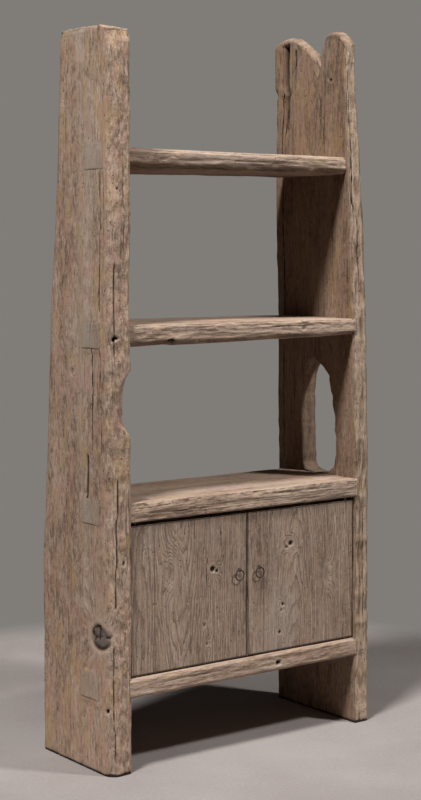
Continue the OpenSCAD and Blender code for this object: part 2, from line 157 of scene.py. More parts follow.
# Quads between neighbouring rows and columns, the last column joined to the first and, when closed, the
# last row too
def gridQuads(rowCount, columnCount, skip=(), closed=False):
    lastRow = rowCount if closed else rowCount - 1
    row, column = np.meshgrid(np.arange(lastRow), np.arange(columnCount), indexing="ij")
    keep = ~np.isin(column, list(skip))
    row, column = row[keep], column[keep]
    nextRow, nextColumn = (row + 1) % rowCount, (column + 1) % columnCount
    return np.stack([row * columnCount + column, row * columnCount + nextColumn,
                     nextRow * columnCount + nextColumn, nextRow * columnCount + column], axis=1)


# Mesh from points and faces, its faces turned outwards, with one value per point for each field.
# merge joins doubled points and drops the slivers that they leave.
def meshPiece(name, points, faces, fields=None, grain=None, merge=True):
    mesh = bpy.data.meshes.new(name)
    mesh.from_pydata(points.reshape(-1, 3).tolist(), [], faces)
    for key, values in (fields or {}).items():
        layer = mesh.attributes.new(key, "FLOAT", "POINT")
        layer.data.foreach_set("value", values.ravel().astype(np.float32))
    if grain is not None:
        layer = mesh.attributes.new("grain", "FLOAT_VECTOR", "POINT")
        layer.data.foreach_set("vector", grain.ravel().astype(np.float32))
    work = bmesh.new()
    work.from_mesh(mesh)
    if merge:
        bmesh.ops.remove_doubles(work, verts=work.verts, dist=0.00002)
        bmesh.ops.dissolve_degenerate(work, edges=work.edges, dist=0.000005)
    bmesh.ops.recalc_face_normals(work, faces=work.faces)
    work.to_mesh(mesh)
    work.free()
    mesh.polygons.foreach_set("use_smooth", np.ones(len(mesh.polygons), bool))
    mesh.update()
    piece = bpy.data.objects.new(name, mesh)
    bpy.context.scene.collection.objects.link(piece)
    return piece


# Gives a piece its finish, the body that it rides on, and the frame's node that it stands for
def finishPiece(piece, body, finish, node):
    piece.data.materials.clear()
    piece.data.materials.append(finishes[finish])
    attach(piece, body)
    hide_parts(node)
    print("piece", piece.name, len(piece.data.polygons), "faces")


# A crack in a board: the face it is in, its line across that face, its start and end along the board, its
# width and depth, how dark it is and how far it leans over its length
def crack(face, at, start, end, width, depth, dark=1, lean=0):
    return {"face": face, "at": at, "from": start, "to": end, "width": width, "depth": depth, "dark": dark,
            "lean": lean}


# A knot in a board: its face and centre, its half sizes and depth, and how dark it is. eye is how far the
# growth rings spread round it, and curlDark is how dark the cracks of a crazed grey heart and the painted
# shadow under it are, or 0 for a plain heart.
def knot(face, across, along, halfWidth, halfHeight, depth, dark=0.9, eye=0.012, curlDark=0):
    return {"face": face, "across": across, "along": along, "halfWidth": halfWidth, "halfHeight": halfHeight,
            "depth": depth, "dark": dark, "eye": eye, "curlDark": curlDark}


# What every crack shares. A scale is in cells per metre, along the grain and across it. darkFrom is the share
# of a crack's depth at which the painted shade in its groove is full.
crackForm = {"taper": 0.35, "wall": 1.5, "depth": 0.72, "vary": 0.38, "varyScale": (31, 90), "wander": 0.0016,
             "wanderScale": (22, 70), "broken": (45, 60), "darkFrom": 0.28}


# Groove along the grain: full depth on its own line, gone half a width to either side, thinning to its ends
def grooveDepth(along, across, split):
    form = crackForm
    share = (along - split["from"]) / (split["to"] - split["from"])
    inside = (share > 0) & (share < 1)
    taper = np.where(inside, np.abs(np.sin(np.pi * np.clip(share, 0, 1))) ** form["taper"], 0)
    line = across * 0 + split["at"]
    vary = form["depth"] + form["vary"] * lineNoise(along, line, *form["varyScale"], 11)
    middle = split["at"] + split["lean"] * (share - 0.5)
    middle = middle + form["wander"] * lineNoise(along, line, *form["wanderScale"], 13, 3)
    profile = np.clip(form["wall"] - form["wall"] * np.abs(across - middle) / (split["width"] / 2), 0, 1)
    return profile * taper * vary * split["depth"]


# Takes a crack's groove out of the wood and paints shade into it, darker where the groove is deeper, and more
# in some stretches than in others
def addCrack(layers, split, seed, l, u, w, nu, nw):
    if split["face"] == "front":
        across, region = u, smoothStep(0.2, 0.7, np.clip(-nw, 0, 1))
    else:
        across, region = w, smoothStep(0.6, 0.9, nu if split["face"] == "far" else -nu)
    groove = grooveDepth(l, across, split) * region
    layers["worn"] = layers["worn"] + groove
    broken = np.clip(0.9 + 0.5 * lineNoise(l, l * 0 + split["at"], *crackForm["broken"], seed + 17), 0.5, 1)
    dark = np.clip(groove / (crackForm["darkFrom"] * split["depth"]), 0, 1) * broken * split["dark"]
    layers["cavity"] = np.maximum(layers["cavity"], dark)


# A knot is a sunken oval heart inside a slightly raised rim, painted lighter as a highlight, and the grain
# and the growth rings part round it. away is the distance from its centre in half sizes.
def addKnot(layers, spec, seed, flow, l, u, w, nu, nw):
    region = smoothStep(0.3, 0.8, {"far": nu, "near": -nu, "front": -nw}[spec["face"]])
    across = u if spec["face"] == "front" else w
    away = np.hypot((across - spec["across"]) / spec["halfWidth"], (l - spec["along"]) / spec["halfHeight"])
    heart = 1 - smoothStep(0.55, 1.05, away)
    rim = np.exp(-((away - 1.35) / 0.4) ** 2)
    worn = layers["worn"] + region * (heart * spec["depth"] - rim * min(spec["depth"], 0.004) * 0.15)
    cavity = np.maximum(layers["cavity"], region * heart * spec["dark"])
    if spec["curlDark"]:
        # a hard grey heart, crazed with dark cracks, with a painted shadow along its lower edge
        craze = np.abs(roughNoise(flow, (38, 30, 30), seed + 31, 2))
        crazeAndShadow = (1 - smoothStep(0.03, 0.34, craze)) * (1 - smoothStep(0.95, 1.30, away))
        under = smoothStep(-0.2, 0.9, (spec["along"] - l) / spec["halfHeight"])
        crazeAndShadow = np.maximum(crazeAndShadow, under * np.exp(-((away - 0.95) / 0.24) ** 2))
        worn = worn + region * crazeAndShadow * 0.004
        cavity = np.maximum(cavity, region * crazeAndShadow * spec["curlDark"])
        layers["grey"] = np.maximum(layers["grey"], region * (1 - smoothStep(0.75, 1.15, away)))
    # the rim's painted highlight goes in with the wear
    layers.update(worn=worn, cavity=cavity, wear=layers["wear"] + region * rim * 0.5)
    side = np.tanh((across - spec["across"]) / spec["halfWidth"])
    layers["swirl"] = layers["swirl"] + np.exp(-(away / 2.6) ** 2) * side * spec["halfWidth"] * 1.5
    layers["eyes"] = layers["eyes"] + np.exp(-(away / 2.2) ** 2) * spec["eye"]


# World place or direction of grid values, for a board whose l, u and w run along the given axes
def toWorld(axes, l, u, w):
    world = np.zeros(l.shape + (3,))
    for values, axis in zip((l, u, w), axes):
        world[..., axisNumber[axis]] = values
    return world


# The grid of a board: stations close together at its cracks, and two columns side by side where a slit
# opens. Returns the section and the six arrays of boardGrid.
def boardStations(shape):
    thick, wide = shape["thick"], shape["wide"]
    nearFront, farFront, farBack, nearBack = shape["radii"]
    low = max(nearFront, farFront) + millimetre
    high = wide - max(farBack, nearBack) - millimetre
    marks = [split["at"] + split["lean"] * share for share in (-0.5, 0, 0.5)
             for split in shape.get("splits", ()) if split["face"] != "front"]
    across = stations(low, high, shape["faceStep"], marks)
    if "slit" in shape:
        across = across[np.abs(across - shape["slit"]) > slitClear]
        across = np.sort(np.append(across, [shape["slit"] - slitHalf, shape["slit"] + slitHalf]))
    section = sectionLoop(thick, wide, shape["radii"], across, shape["edgeStep"], shape.get("arcSteps", 5))
    rows = stations(0, shape["length"], shape["rowStep"], shape.get("rowMarks", ()))
    return section, boardGrid(thick, wide, section, rows, shape["endRadius"])


# The wear of every board, in noise cells per metre along the grain and across it
weather = {"lumps": (5, 14, 14), "furrows": (7, 95, 95), "hacks": (13, 70, 70), "arrises": (17, 20, 20)}


# A board, with what the weather and the saw left on it. Each point of the rounded section is moved
# inwards by the wear there: broad lumps and fine furrows everywhere, hacks on the front edge, chips on
# the arrises, cracks, knots, and what the board's own carve adds. shape's place turns l, u and w into
# metres along the board's own axes.
def boardPiece(name, shape):
    section, (l, u, w, nl, nu, nw) = boardStations(shape)
    seed, rough, axes = shape["seed"], shape["rough"], shape["axes"]
    pl, pu, pw = shape["place"](l, u, w)
    points = toWorld(axes, pl, pu, pw)
    outward = toWorld(axes, nl, nu, nw)

    flow = np.stack([pl, pw, pu], axis=-1)  # along the grain, then across it
    onFront = np.clip(-nw, 0, 1)
    onFace = np.abs(nu)
    onArris = np.clip(1 - np.maximum(np.abs(nu), np.abs(nw)), 0, 0.3) / 0.3
    onSide = 1 - np.abs(nl) > 0.3

    depth = rough["face"] * onFace + rough["front"] * onFront + rough["face"] * 0.5 * np.clip(nw, 0, 1)
    lumps = roughNoise(flow, weather["lumps"], seed, 2)
    furrows = roughNoise(flow, weather["furrows"], seed + 5, 3)
    hacks = 0.9 * np.abs(roughNoise(flow, weather["hacks"], seed + 9, 3))
    arrisWear = smoothStep(0.1, 0.75, roughNoise(flow, weather["arrises"], seed + 13, 3) * 0.5 + 0.5)
    worn = depth * (0.5 + 0.5 * lumps) + depth * 0.55 * (0.5 + 0.5 * furrows)
    worn = worn + onFront * rough["hacks"] * np.clip(hacks - 0.15, 0, 1)
    worn = worn + onArris * rough["arris"] * arrisWear
    # rubbed arrises and fronts are lighter with wear, and the right slab's front face is lifted further as
    # painted light
    wear = onArris * (0.10 + 0.30 * arrisWear) + onFront * (0.15 + shape.get("frontPaintedLight", 0))
    layers = {key: np.zeros_like(worn) for key in ("cavity", "grey", "swirl", "eyes")}
    layers.update(worn=worn, wear=wear * np.clip(1.2 - hacks * 1.5, 0, 1))
    for split in shape.get("splits", ()):
        addCrack(layers, split, seed, l, u, w, nu, nw)
    for spec in shape.get("knots", ()):
        addKnot(layers, spec, seed, flow, l, u, w, nu, nw)

    worn = layers["worn"]
    if "calm" in shape:
        planed = shape["calm"](pl, pw) * onFace
        worn = worn * (1 - 0.75 * planed) + 0.0009 * planed
    worn = worn * onSide + shape.get("endWear", 0) * (nl > 0.5) * (0.5 + 0.5 * furrows)
    cavity = layers["cavity"]
    if "carve" in shape:
        extra, dark = shape["carve"](l, u, w, nl, nu, nw, flow)
        worn, cavity = worn + extra, np.maximum(cavity, dark)
    points = points - outward * np.maximum(worn, 0)[..., None]
    # painted contact shadow along the foot, over its lowest centimetre where the board stands on the floor
    cavity = np.maximum(cavity, shape.get("footPaintedShadow", 0) * (1 - smoothStep(0.002, 0.012, l)))
    relief = np.clip(onFront + onArris * 0.6 + onFace * shape.get("faceRelief", 0.35), 0, 1)

    # growth rings of a flat-sawn board: distance to a pith that dives away under the face
    pith = shape["pith"]
    wander = lineNoise(l, w * 0, 1.7, 1, seed + 21) * pith.get("wander", 0.02)
    under = pith["depth"] + pith["slope"] * np.abs(l - pith["along"]) + u * 0.6
    away = np.hypot(w - pith["across"] - wander, under)
    swirl = layers["swirl"]
    grain = np.stack([pl, pw + swirl - lineNoise(l, w, 1.3, 3, seed + 3) * 0.012, pu], axis=-1)
    fields = {"cavity": cavity, "wear": np.clip(layers["wear"], 0, 1),
              "ring": away + swirl * 0.25 + layers["eyes"], "grey": layers["grey"], "relief": relief}
    if "slit" not in shape:
        return meshPiece(name, points, gridQuads(*l.shape).tolist(), fields, grain)
    slitColumns = np.where(np.abs(section[:, 1] - shape["slit"]) < 10 * slitHalf)[0]
    faces = gridQuads(*l.shape, (slitColumns[0], slitColumns[2]))
    points, faces, grain, count = shape["openGrid"](points, faces, grain, l, slitColumns)
    fields = {key: np.concatenate([fields[key].ravel(), np.full(count, holeWall[key])]) for key in fields}
    return meshPiece(name, points, faces.tolist(), fields, grain)


# A node's lowest and highest corner
def nodeBox(node):
    low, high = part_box(node)
    return np.array(low), np.array(high)


leftLow, leftHigh = nodeBox("left_slab")
rightLow, rightHigh = nodeBox("right_slab")
leftInner, rightInner = leftHigh[0], rightLow[0]


# Line through (height, value) pairs in millimetres, read at height z in metres, its corners rounded off
# by a running mean with bell-shaped weights
def lineThrough(pairs, z):
    heights, values = np.array(pairs, float).T * millimetre
    reach = np.linspace(heights[0], heights[-1], 241)
    straight = np.interp(reach, heights, values)
    kernel = np.hanning(13)
    padded = np.pad(straight, 6, mode="edge")
    return np.interp(z, reach, np.convolve(padded, kernel / kernel.sum(), mode="valid"))


# The same line with its corners left sharp
def lineExact(pairs, z):
    heights, values = np.array(pairs, float).T * millimetre
    return np.interp(z, heights, values)


# The left slab is at full depth at the foot, and its outer back corner slants away towards the top. Lines
# are (height, place) pairs in millimetres, and bite is the hollow worn into the inner front corner.
leftSlab = {
    "front": ((0, -204), (340, -207), (530, -211), (790, -208), (1110, -215), (1390, -208), (1580, -219),
              (1750, -214), (1960, -220), (2090, -217), (2140, -205)),
    "back": ((0, 170), (320, 170), (600, 178), (960, 190), (2140, 190)),
    "wane": ((0, 168), (335, 168), (604, 155), (791, 137), (1005, 121), (1311, 101), (1712, 59), (1917, 46),
             (1997, 43), (2060, 37), (2100, 34), (2140, 26)),
    "waneTurn": 1.5,
    "bite": {"height": 1073, "half": 96, "depth": 40, "corner": -213},
    "edgeWave": 0.004,
    "roundTop": 0.012,
}
slabWide = 0.4  # the width that both slabs are drawn in, before their edges pull it to its real place
leftThick = leftHigh[0] - leftLow[0]


# The share of the width runs between the front line and the back line at that height; the front takes the
# larger of its own line and a 45 degree cut as deep as a flattened parabola, and the back the nearer of
# two lines.
def placeLeftSlab(z, u, w):
    spec = leftSlab
    front = lineThrough(spec["front"], z) + spec["edgeWave"] * np.abs(lineNoise(z, u, 14, 12, 71, 3))
    bite = spec["bite"]
    share = np.clip(1 - ((z / millimetre - bite["height"]) / bite["half"]) ** 2, 0, 1)
    ragged = 1 + 0.16 * lineNoise(z, u, 38, 20, 77, 3)
    cut = bite["corner"] * millimetre + math.sqrt(2) * bite["depth"] * millimetre * share ** 0.8 * ragged
    cut = cut - (leftThick - u)
    front = np.where(share > 0, np.maximum(front, cut), front)
    outer = lineThrough(spec["wane"], z) + 0.0025 * lineNoise(z, u * 0, 9, 1, 73, 3)
    back = np.minimum(lineThrough(spec["back"], z), outer + u * spec["waneTurn"])
    y = front + w / slabWide * (back - front)
    topShare = smoothStep(leftHigh[2] - 0.05, leftHigh[2], z)
    across = np.clip((y - front) / (back - front), 0, 1)
    uneven = 0.25 * np.abs(lineNoise(y, u, 30, 30, 79))
    drop = topShare * spec["roundTop"] * (1 - smoothStep(0, 0.22, across) + uneven)
    return z - drop, leftLow[0] + u, y


# The corners of each solid of a node, told apart by the gaps between their heights
def partBoxes(node):
    points = np.array([vertex.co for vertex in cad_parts[node].data.vertices])
    points = points[np.argsort(points[:, 2])]
    groups = np.split(points, np.where(np.diff(points[:, 2]) > 0.1)[0] + 1)
    return [(group.min(axis=0), group.max(axis=0)) for group in groups]


# 1 on the plugs and close round them, 0 away from them, because the wood was planed flush there
def aroundPlugs(node):
    def calm(z, y):
        total = np.zeros(z.shape)
        for low, high in partBoxes(node):
            reach = np.maximum(np.maximum(low[1] - y, y - high[1]), np.maximum(low[2] - z, z - high[2]))
            total = np.maximum(total, 1 - smoothStep(0.002, 0.014, reach))
        return total

    return calm


leftSplits = [
    crack("near", 0.070, 1.335, 1.728, 0.0085, 0.012, lean=0.008),
    crack("near", 0.046, 1.36, 1.726, 0.0050, 0.006, dark=0.75, lean=0.006),
    crack("near", 0.112, 0.92, 1.236, 0.0085, 0.011, lean=0.006),
    crack("near", 0.060, 0.93, 1.238, 0.0056, 0.007, dark=0.9, lean=0.018),
    crack("near", 0.138, 0.785, 0.925, 0.013, 0.016),
    crack("near", 0.23, 0.12, 0.62, 0.003, 0.002, dark=0.4),
    crack("near", 0.152, 1.86, 2.13, 0.004, 0.004, dark=0.6),
    crack("front", 0.026, 0.49, 0.868, 0.0056, 0.007, dark=0.95, lean=0.012),
    crack("front", 0.018, 0.04, 0.38, 0.0052, 0.007, dark=0.9, lean=-0.004),
    crack("front", 0.021, 1.178, 1.496, 0.0052, 0.007, dark=0.9, lean=-0.004),
    crack("front", 0.052, 1.50, 1.80, 0.004, 0.004, dark=0.6),
    crack("front", 0.062, 0.60, 0.78, 0.004, 0.004, dark=0.6),
    crack("far", 0.11, 0.85, 1.2, 0.006, 0.006, dark=0.8),
    crack("far", 0.21, 1.34, 1.70, 0.006, 0.006, dark=0.8),
]
leftKnots = [
    knot("near", 0.058, 0.404, 0.046, 0.034, 0.004, dark=0.10, curlDark=0.85, eye=0.03),
    knot("near", 0.247, 1.16, 0.010, 0.013, 0.003, dark=0.4),
    knot("near", 0.140, 0.785, 0.011, 0.008, 0.014),
    knot("near", 0.024, 0.191, 0.006, 0.008, 0.008),
    knot("near", 0.175, 0.52, 0.016, 0.03, 0.001, dark=0.1, eye=0.045),
    knot("front", 0.018, 1.258, 0.006, 0.008, 0.010),
    knot("front", 0.026, 1.262, 0.009, 0.005, 0.008),
    knot("front", 0.030, 1.679, 0.005, 0.005, 0.006),
    knot("front", 0.050, 0.62, 0.006, 0.009, 0.005, dark=0.6),
    knot("far", 0.2, 0.94, 0.014, 0.020, 0.002, dark=0.2, curlDark=0.7, eye=0.03),
]
leftShape = {
    "axes": "zxy", "thick": leftThick, "wide": slabWide, "length": leftHigh[2],
    "radii": (0.036, 0.013, 0.010, 0.014), "faceStep": 0.0066, "edgeStep": 0.0028, "arcSteps": 10,
    "rowStep": 0.0059, "endRadius": 0.006, "place": placeLeftSlab, "seed": 101,
    "splits": leftSplits, "knots": leftKnots,
    "rough": {"front": 0.0050, "face": 0.0024, "arris": 0.006, "hacks": 0.004}, "endWear": 0.003,
    # the foot is painted dark as a contact shadow
    "footPaintedShadow": 0.8, "faceRelief": 0.45,
    "pith": {"across": 0.17, "depth": 0.05, "slope": 0.03, "along": 0.9, "wander": 0.03},
    "calm": aroundPlugs("left_slab_plugs"),
}

# The right slab has a forked top, and a pointed hole that opens along a slit in the two faces. openFront
# and openBack are how far the hole reaches either side of the slit, and lobe is the rear horn's swelling
# over its undercut.
rightSlab = {
    "front": ((0, -206), (789, -202), (1297, -186), (1805, -159), (1914, -151), (2099, -143), (2200, -140)),
    "back": ((0, 194), (789, 193), (1295, 200), (1741, 213), (1961, 209), (2015, 206), (2200, 206)),
    "lobe": {"from": 2.021, "to": 2.066, "out": 0.0130, "under": 0.005},
    "top": ((-220, 2085), (-146, 2096), (-136, 2156), (-98, 2194), (-49, 2196), (-25, 2170), (-18, 2108),
            (0, 2068), (15, 2101), (33, 2143), (64, 2164), (106, 2191), (152, 2199), (196, 2191), (214, 2182),
            (240, 2150)),
    "thinning": ((0, 0), (1300, 0), (1640, 3), (1800, 5), (1950, 9), (2050, 13), (2120, 9), (2200, 14)),
    "stretchFrom": 1.9,
    "topRound": 0.016,
    "wave": 0.003,
    "slit": 0.2122,
    "openFront": ((789, 0), (793, 52), (799, 76), (815, 92), (860, 103), (971, 105), (1050, 89), (1108, 76),
                  (1135, 49), (1150, 24), (1161, 0)),
    "openBack": ((789, 0), (793, 28), (799, 42), (815, 50), (900, 53), (1000, 54), (1060, 52), (1100, 46),
                 (1135, 29), (1150, 14), (1161, 0)),
    # the cleft's dark is the painted shadow in its valley
    "cleft": {"at": 0.336, "from": 1.88, "to": 2.10, "half": 0.016, "depth": 0.024, "dark": 0.85},
    "lip": 0.010,
    "wallColumns": 12,
}
rightThick = rightHigh[0] - rightLow[0]


# Front and back lines at each height, with a small wave
def rightEdges(z):
    wave, lobe = rightSlab["wave"], rightSlab["lobe"]
    front = lineThrough(rightSlab["front"], z) + wave * np.abs(lineNoise(z, z * 0, 16, 1, 171, 3))
    back = lineThrough(rightSlab["back"], z) - wave * np.abs(lineNoise(z, z * 0, 11, 1, 173, 3))
    back = back + lobe["out"] * smoothStep(lobe["from"], lobe["to"], z)
    back = back - lobe["under"] * np.exp(-((z - lobe["from"]) / 0.009) ** 2)
    return front, back


# Half openings of the hole on either side of the slit, in metres, none outside its height
def holeOpening(z):
    ragged = 1 + 0.035 * lineNoise(z, z * 0, 45, 1, 179, 3)
    return lineExact(rightSlab["openFront"], z) * ragged, lineExact(rightSlab["openBack"], z) * ragged


# The width runs between the two edges, and is pushed apart at the slit by the opening times the 1.6th
# power of the share of the way to it. The hole's lip is a quarter circle, and the top follows its line
# with a cubic round.
def placeRightSlab(l, u, w):
    spec = rightSlab
    slit, middle = spec["slit"], rightThick / 2
    front, back = rightEdges(l)
    openFront, openBack = holeOpening(l)
    frontShare = np.clip(w / slit, 0, 1)
    backShare = np.clip((slabWide - w) / (slabWide - slit), 0, 1)
    shift = np.where(w < slit, -openFront * frontShare ** 1.6, openBack * backShare ** 1.6)
    y = front + w / slabWide * (back - front) + shift
    slitY = front + slit / slabWide * (back - front)

    # how far each point is from the hole's edge
    side = np.maximum(np.maximum(slitY - openFront - y, y - slitY - openBack), 0)
    lowEnd, highEnd = spec["openFront"][0][0] * millimetre, spec["openFront"][-1][0] * millimetre
    footFront, footBack = (spec[key][3][1] * millimetre for key in ("openFront", "openBack"))
    under = np.maximum(y - slitY - footBack, slitY - footFront - y)
    under = np.hypot(np.maximum(under, 0), np.maximum(lowEnd - l, 0) + millimetre)
    over = np.hypot(y - slitY, l - highEnd)
    away = np.where((l > lowEnd) & (l < highEnd), side, np.where(l <= lowEnd, under, over))
    share = np.clip(1 - away / spec["lip"], 0, 1)
    lip = spec["lip"] * (1 - np.sqrt(1 - share ** 2 * 0.98))
    u = middle + (u - middle) * (1 - lip / middle)

    top = lineExact(spec["top"], y) - 0.004 * np.abs(lineNoise(y, u, 60, 40, 181, 3))
    edge = np.abs(u - middle) / middle
    top = top - spec["topRound"] * edge ** 3
    start = spec["stretchFrom"]
    stretch = (top - start) / (rightHigh[2] - start)
    z = np.where(l > start, start + (l - start) * stretch, l)
    thinning = 0.004 * smoothStep(1.5, 2.0, l) * np.abs(lineNoise(l, y, 15, 6, 183, 3))
    thinning = lineThrough(spec["thinning"], l) + thinning
    return z, rightLow[0] + u * (1 - thinning / rightThick), y


# The horns are furrowed down from their tips, with painted shade in the deepest furrows; a cleft, with a
# painted shadow in its valley, parts the rear horn's lobe from the rest, and the tips are dark. Returns the
# depth to take off and how dark each point is.
def carveRightSlab(l, u, w, nl, nu, nw, flow):
    horn = smoothStep(1.76, 2.05, l)
    furrow = np.abs(roughNoise(flow, (3.5, 36, 36), 191, 3))
    depth = horn * np.clip(0.40 - furrow, 0, 1) * 0.012 * (1 - np.abs(nl)) * np.where(nu < 0, 1, 0.6)
    # the deepest furrows are painted darker, as shade
    dark = horn * smoothStep(0.30, 0.42, 0.42 - furrow) * 0.45
    cleft = rightSlab["cleft"]
    share = np.clip((l - cleft["from"]) / (cleft["to"] - cleft["from"]), 0, 1)
    reach = np.exp(-((w - cleft["at"] - 0.004 * lineNoise(l, w * 0, 9, 1, 193)) / cleft["half"]) ** 2)
    valley = reach * share ** 0.5 * (l < cleft["to"] + 0.2) * np.clip(-nu, 0, 1)
    tip = np.clip(nl * 1.5, 0, 1) * (l > 1)
    dark = np.maximum(dark, tip * np.clip(0.16 + 0.3 * roughNoise(flow, (60, 90, 60), 197, 2), 0.04, 0.5))
    # the cleft's valley is painted dark as its shadow
    return depth + valley * cleft["depth"], np.maximum(dark, valley * cleft["dark"])


holeWall = {"cavity": 0.12, "wear": 0.25, "ring": 0.05, "grey": 0.0, "relief": 0.6}


# Adds the hole's front and back walls: strips across the thickness between the slit columns of the two
# faces, bowed by half a sine and chipped
def openRightSlab(points, faces, grain, l, slitColumns):
    farFront, farBack, nearBack, nearFront = slitColumns
    height = l[:, 0]
    opening = holeOpening(height)[0]
    rows = np.where(opening > 0)[0]
    rows = np.arange(rows[0] - 1, rows[-1] + 2)
    columns = rightSlab["wallColumns"]
    share = np.linspace(0, 1, columns)[None, :, None]
    bow = np.sin(np.pi * share[..., 0])
    amount = np.clip(opening[rows] / 0.03, 0, 1)[:, None]
    points, grain = points.reshape(-1, 3), grain.reshape(-1, 3)
    start = len(points)
    for near, far, sign in ((nearFront, farFront, 1), (nearBack, farBack, -1)):
        a, b = points[rows * l.shape[1] + near][:, None], points[rows * l.shape[1] + far][:, None]
        strip = a + (b - a) * share
        chipped = roughNoise(strip, (60, 60, 12), 195, 3) * 0.003 * bow
        strip[..., 1] -= sign * (chipped - 0.0035 * bow) * amount
        faces = np.concatenate([faces, gridQuads(len(rows), columns, (columns - 1,)) + len(points)])
        points = np.concatenate([points, strip.reshape(-1, 3)])
        grain = np.concatenate([grain, strip[..., [2, 1, 0]].reshape(-1, 3)])
    return points, faces, grain, len(points) - start


rightSplits = [
    crack("near", 0.336, 1.90, 2.24, 0.0075, 0.010),
    crack("near", 0.360, 1.80, 2.04, 0.0055, 0.008, dark=0.9),
    crack("near", 0.345, 1.78, 1.98, 0.0050, 0.006, dark=0.8),
    crack("near", 0.275, 2.07, 2.18, 0.0065, 0.008, dark=0.9),
    crack("near", 0.150, 1.86, 2.10, 0.0050, 0.005, dark=0.7),
    crack("near", 0.10, 1.36, 1.60, 0.0045, 0.004, dark=0.6),
    crack("near", 0.355, 1.25, 1.74, 0.0060, 0.007, dark=0.9),
    crack("near", 0.36, 0.82, 1.2, 0.0055, 0.006, dark=0.8),
    crack("far", 0.11, 1.2, 1.9, 0.006, 0.007, dark=0.8),
    crack("far", 0.30, 0.2, 0.75, 0.006, 0.007, dark=0.8),
    crack("far", 0.318, 1.80, 2.19, 0.008, 0.010),
    crack("front", 0.036, 0.3, 0.75, 0.0045, 0.004, dark=0.6),
    crack("front", 0.014, 1.62, 2.12, 0.0060, 0.007, dark=0.9),
    crack("front", 0.030, 1.36, 1.66, 0.0045, 0.004, dark=0.7),
]
rightKnots = [
    knot("far", 0.14, 0.62, 0.022, 0.030, 0.003, dark=0.15, curlDark=0.8, eye=0.04),
    knot("far", 0.27, 1.46, 0.013, 0.020, 0.002, dark=0.2, curlDark=0.7, eye=0.03),
    knot("near", 0.085, 2.055, 0.009, 0.006, 0.006),
]
rightShape = {
    "axes": "zxy", "thick": rightThick, "wide": slabWide, "length": rightHigh[2],
    "radii": (0.009, 0.016, 0.014, 0.010), "faceStep": 0.0062, "edgeStep": 0.0030, "rowStep": 0.0057,
    "rowMarks": (0.790, 0.796, 0.804, 1.150, 1.158), "endRadius": 0.007, "place": placeRightSlab, "seed": 141,
    "splits": rightSplits, "knots": rightKnots, "carve": carveRightSlab, "openGrid": openRightSlab,
    "slit": rightSlab["slit"],
    "rough": {"front": 0.0045, "face": 0.0026, "arris": 0.007, "hacks": 0.005}, "endWear": 0.004,
    # this slab's front face is painted lighter, as painted light, against its shaded finish, and its foot is
    # painted dark as a contact shadow
    "footPaintedShadow": 0.7, "frontPaintedLight": 0.75, "faceRelief": 0.6,
    "pith": {"across": 0.24, "depth": 0.05, "slope": 0.03, "along": 1.1, "wander": 0.03},
    "calm": aroundPlugs("right_slab_plugs"),
}

# The shelves. rise lifts the underside and sink lowers the top, as (place along the shelf, amount) pairs in
# millimetres; wave and ragged pull the front edge in, and ridges are saw lines along it.
level = ((-500, 0), (500, 0))
shelves = {
    "bottom_board": {
        "seed": 201, "radii": (0.010, 0.010, 0.004, 0.004), "rise": level, "sink": level,
        "wave": 0.004, "rough": {"front": 0.0022, "face": 0.0014, "arris": 0.004, "hacks": 0.0022},
        "splits": [crack("front", 0.036, 0.12, 0.36, 0.003, 0.003, dark=0.5),
                   crack("front", 0.020, 0.50, 0.8, 0.003, 0.003, dark=0.5),
                   crack("far", 0.09, 0.2, 0.6, 0.004, 0.003, dark=0.6)],
        "knots": [knot("front", 0.027, 0.551, 0.008, 0.010, 0.010)],
    },
    "cupboard_top": {
        "seed": 211, "radii": (0.006, 0.004, 0.004, 0.004), "rise": level, "sink": level,
        "wave": 0.004, "ragged": 0.006,
        "rough": {"front": 0.0024, "face": 0.0016, "arris": 0.006, "hacks": 0.0022}, "ridges": 0.0016,
        "splits": [crack("front", 0.024, 0.06, 0.32, 0.003, 0.004, dark=0.6),
                   crack("front", 0.042, 0.48, 0.80, 0.003, 0.004, dark=0.5),
                   crack("far", 0.045, 0.1, 0.8, 0.005, 0.004, dark=0.7),
                   crack("far", 0.12, 0.3, 0.85, 0.004, 0.003, dark=0.7)],
        "knots": [],
    },
    "middle_shelf": {
        "seed": 221, "radii": (0.018, 0.011, 0.004, 0.004),
        "rise": ((-500, 0), (-420, 0), (-300, 3), (-262, 6), (-255, 1), (-100, 2), (100, 5), (300, 8),
                 (440, 12), (500, 13)),
        "sink": ((-500, 0), (100, 0), (440, 3), (500, 4)), "wave": 0.006, "ragged": 0.004,
        "rough": {"front": 0.0030, "face": 0.0018, "arris": 0.007, "hacks": 0.0026},
        "splits": [crack("front", 0.010, 0.148, 0.172, 0.012, 0.014),
                   crack("front", 0.044, 0.52, 0.72, 0.004, 0.004, dark=0.6),
                   crack("far", 0.07, 0.1, 0.7, 0.005, 0.004, dark=0.7),
                   crack("near", 0.12, 0.2, 0.7, 0.005, 0.005)],
        "knots": [knot("front", 0.034, 0.66, 0.007, 0.010, 0.003, dark=0.3)],
    },
    "top_shelf": {
        "seed": 231, "radii": (0.024, 0.014, 0.005, 0.006),
        "rise": ((-500, 0), (-418, 0), (-404, 3), (-360, 4), (-340, 0), (-100, 2), (150, 5), (440, 8),
                 (500, 9)),
        "sink": ((-500, -2), (-300, 0), (100, 1), (440, 2), (500, 2)), "wave": 0.008,
        "rough": {"front": 0.0034, "face": 0.0022, "arris": 0.007, "hacks": 0.0030},
        "splits": [crack("front", 0.036, 0.34, 0.56, 0.003, 0.004, dark=0.5),
                   crack("near", 0.07, 0.12, 0.66, 0.006, 0.007),
                   crack("near", 0.17, 0.3, 0.8, 0.005, 0.006)],
        "knots": [knot("near", 0.06, 0.72, 0.012, 0.018, 0.006)],
    },
}
shelfReach = 0.009  # how far each end goes into its slab


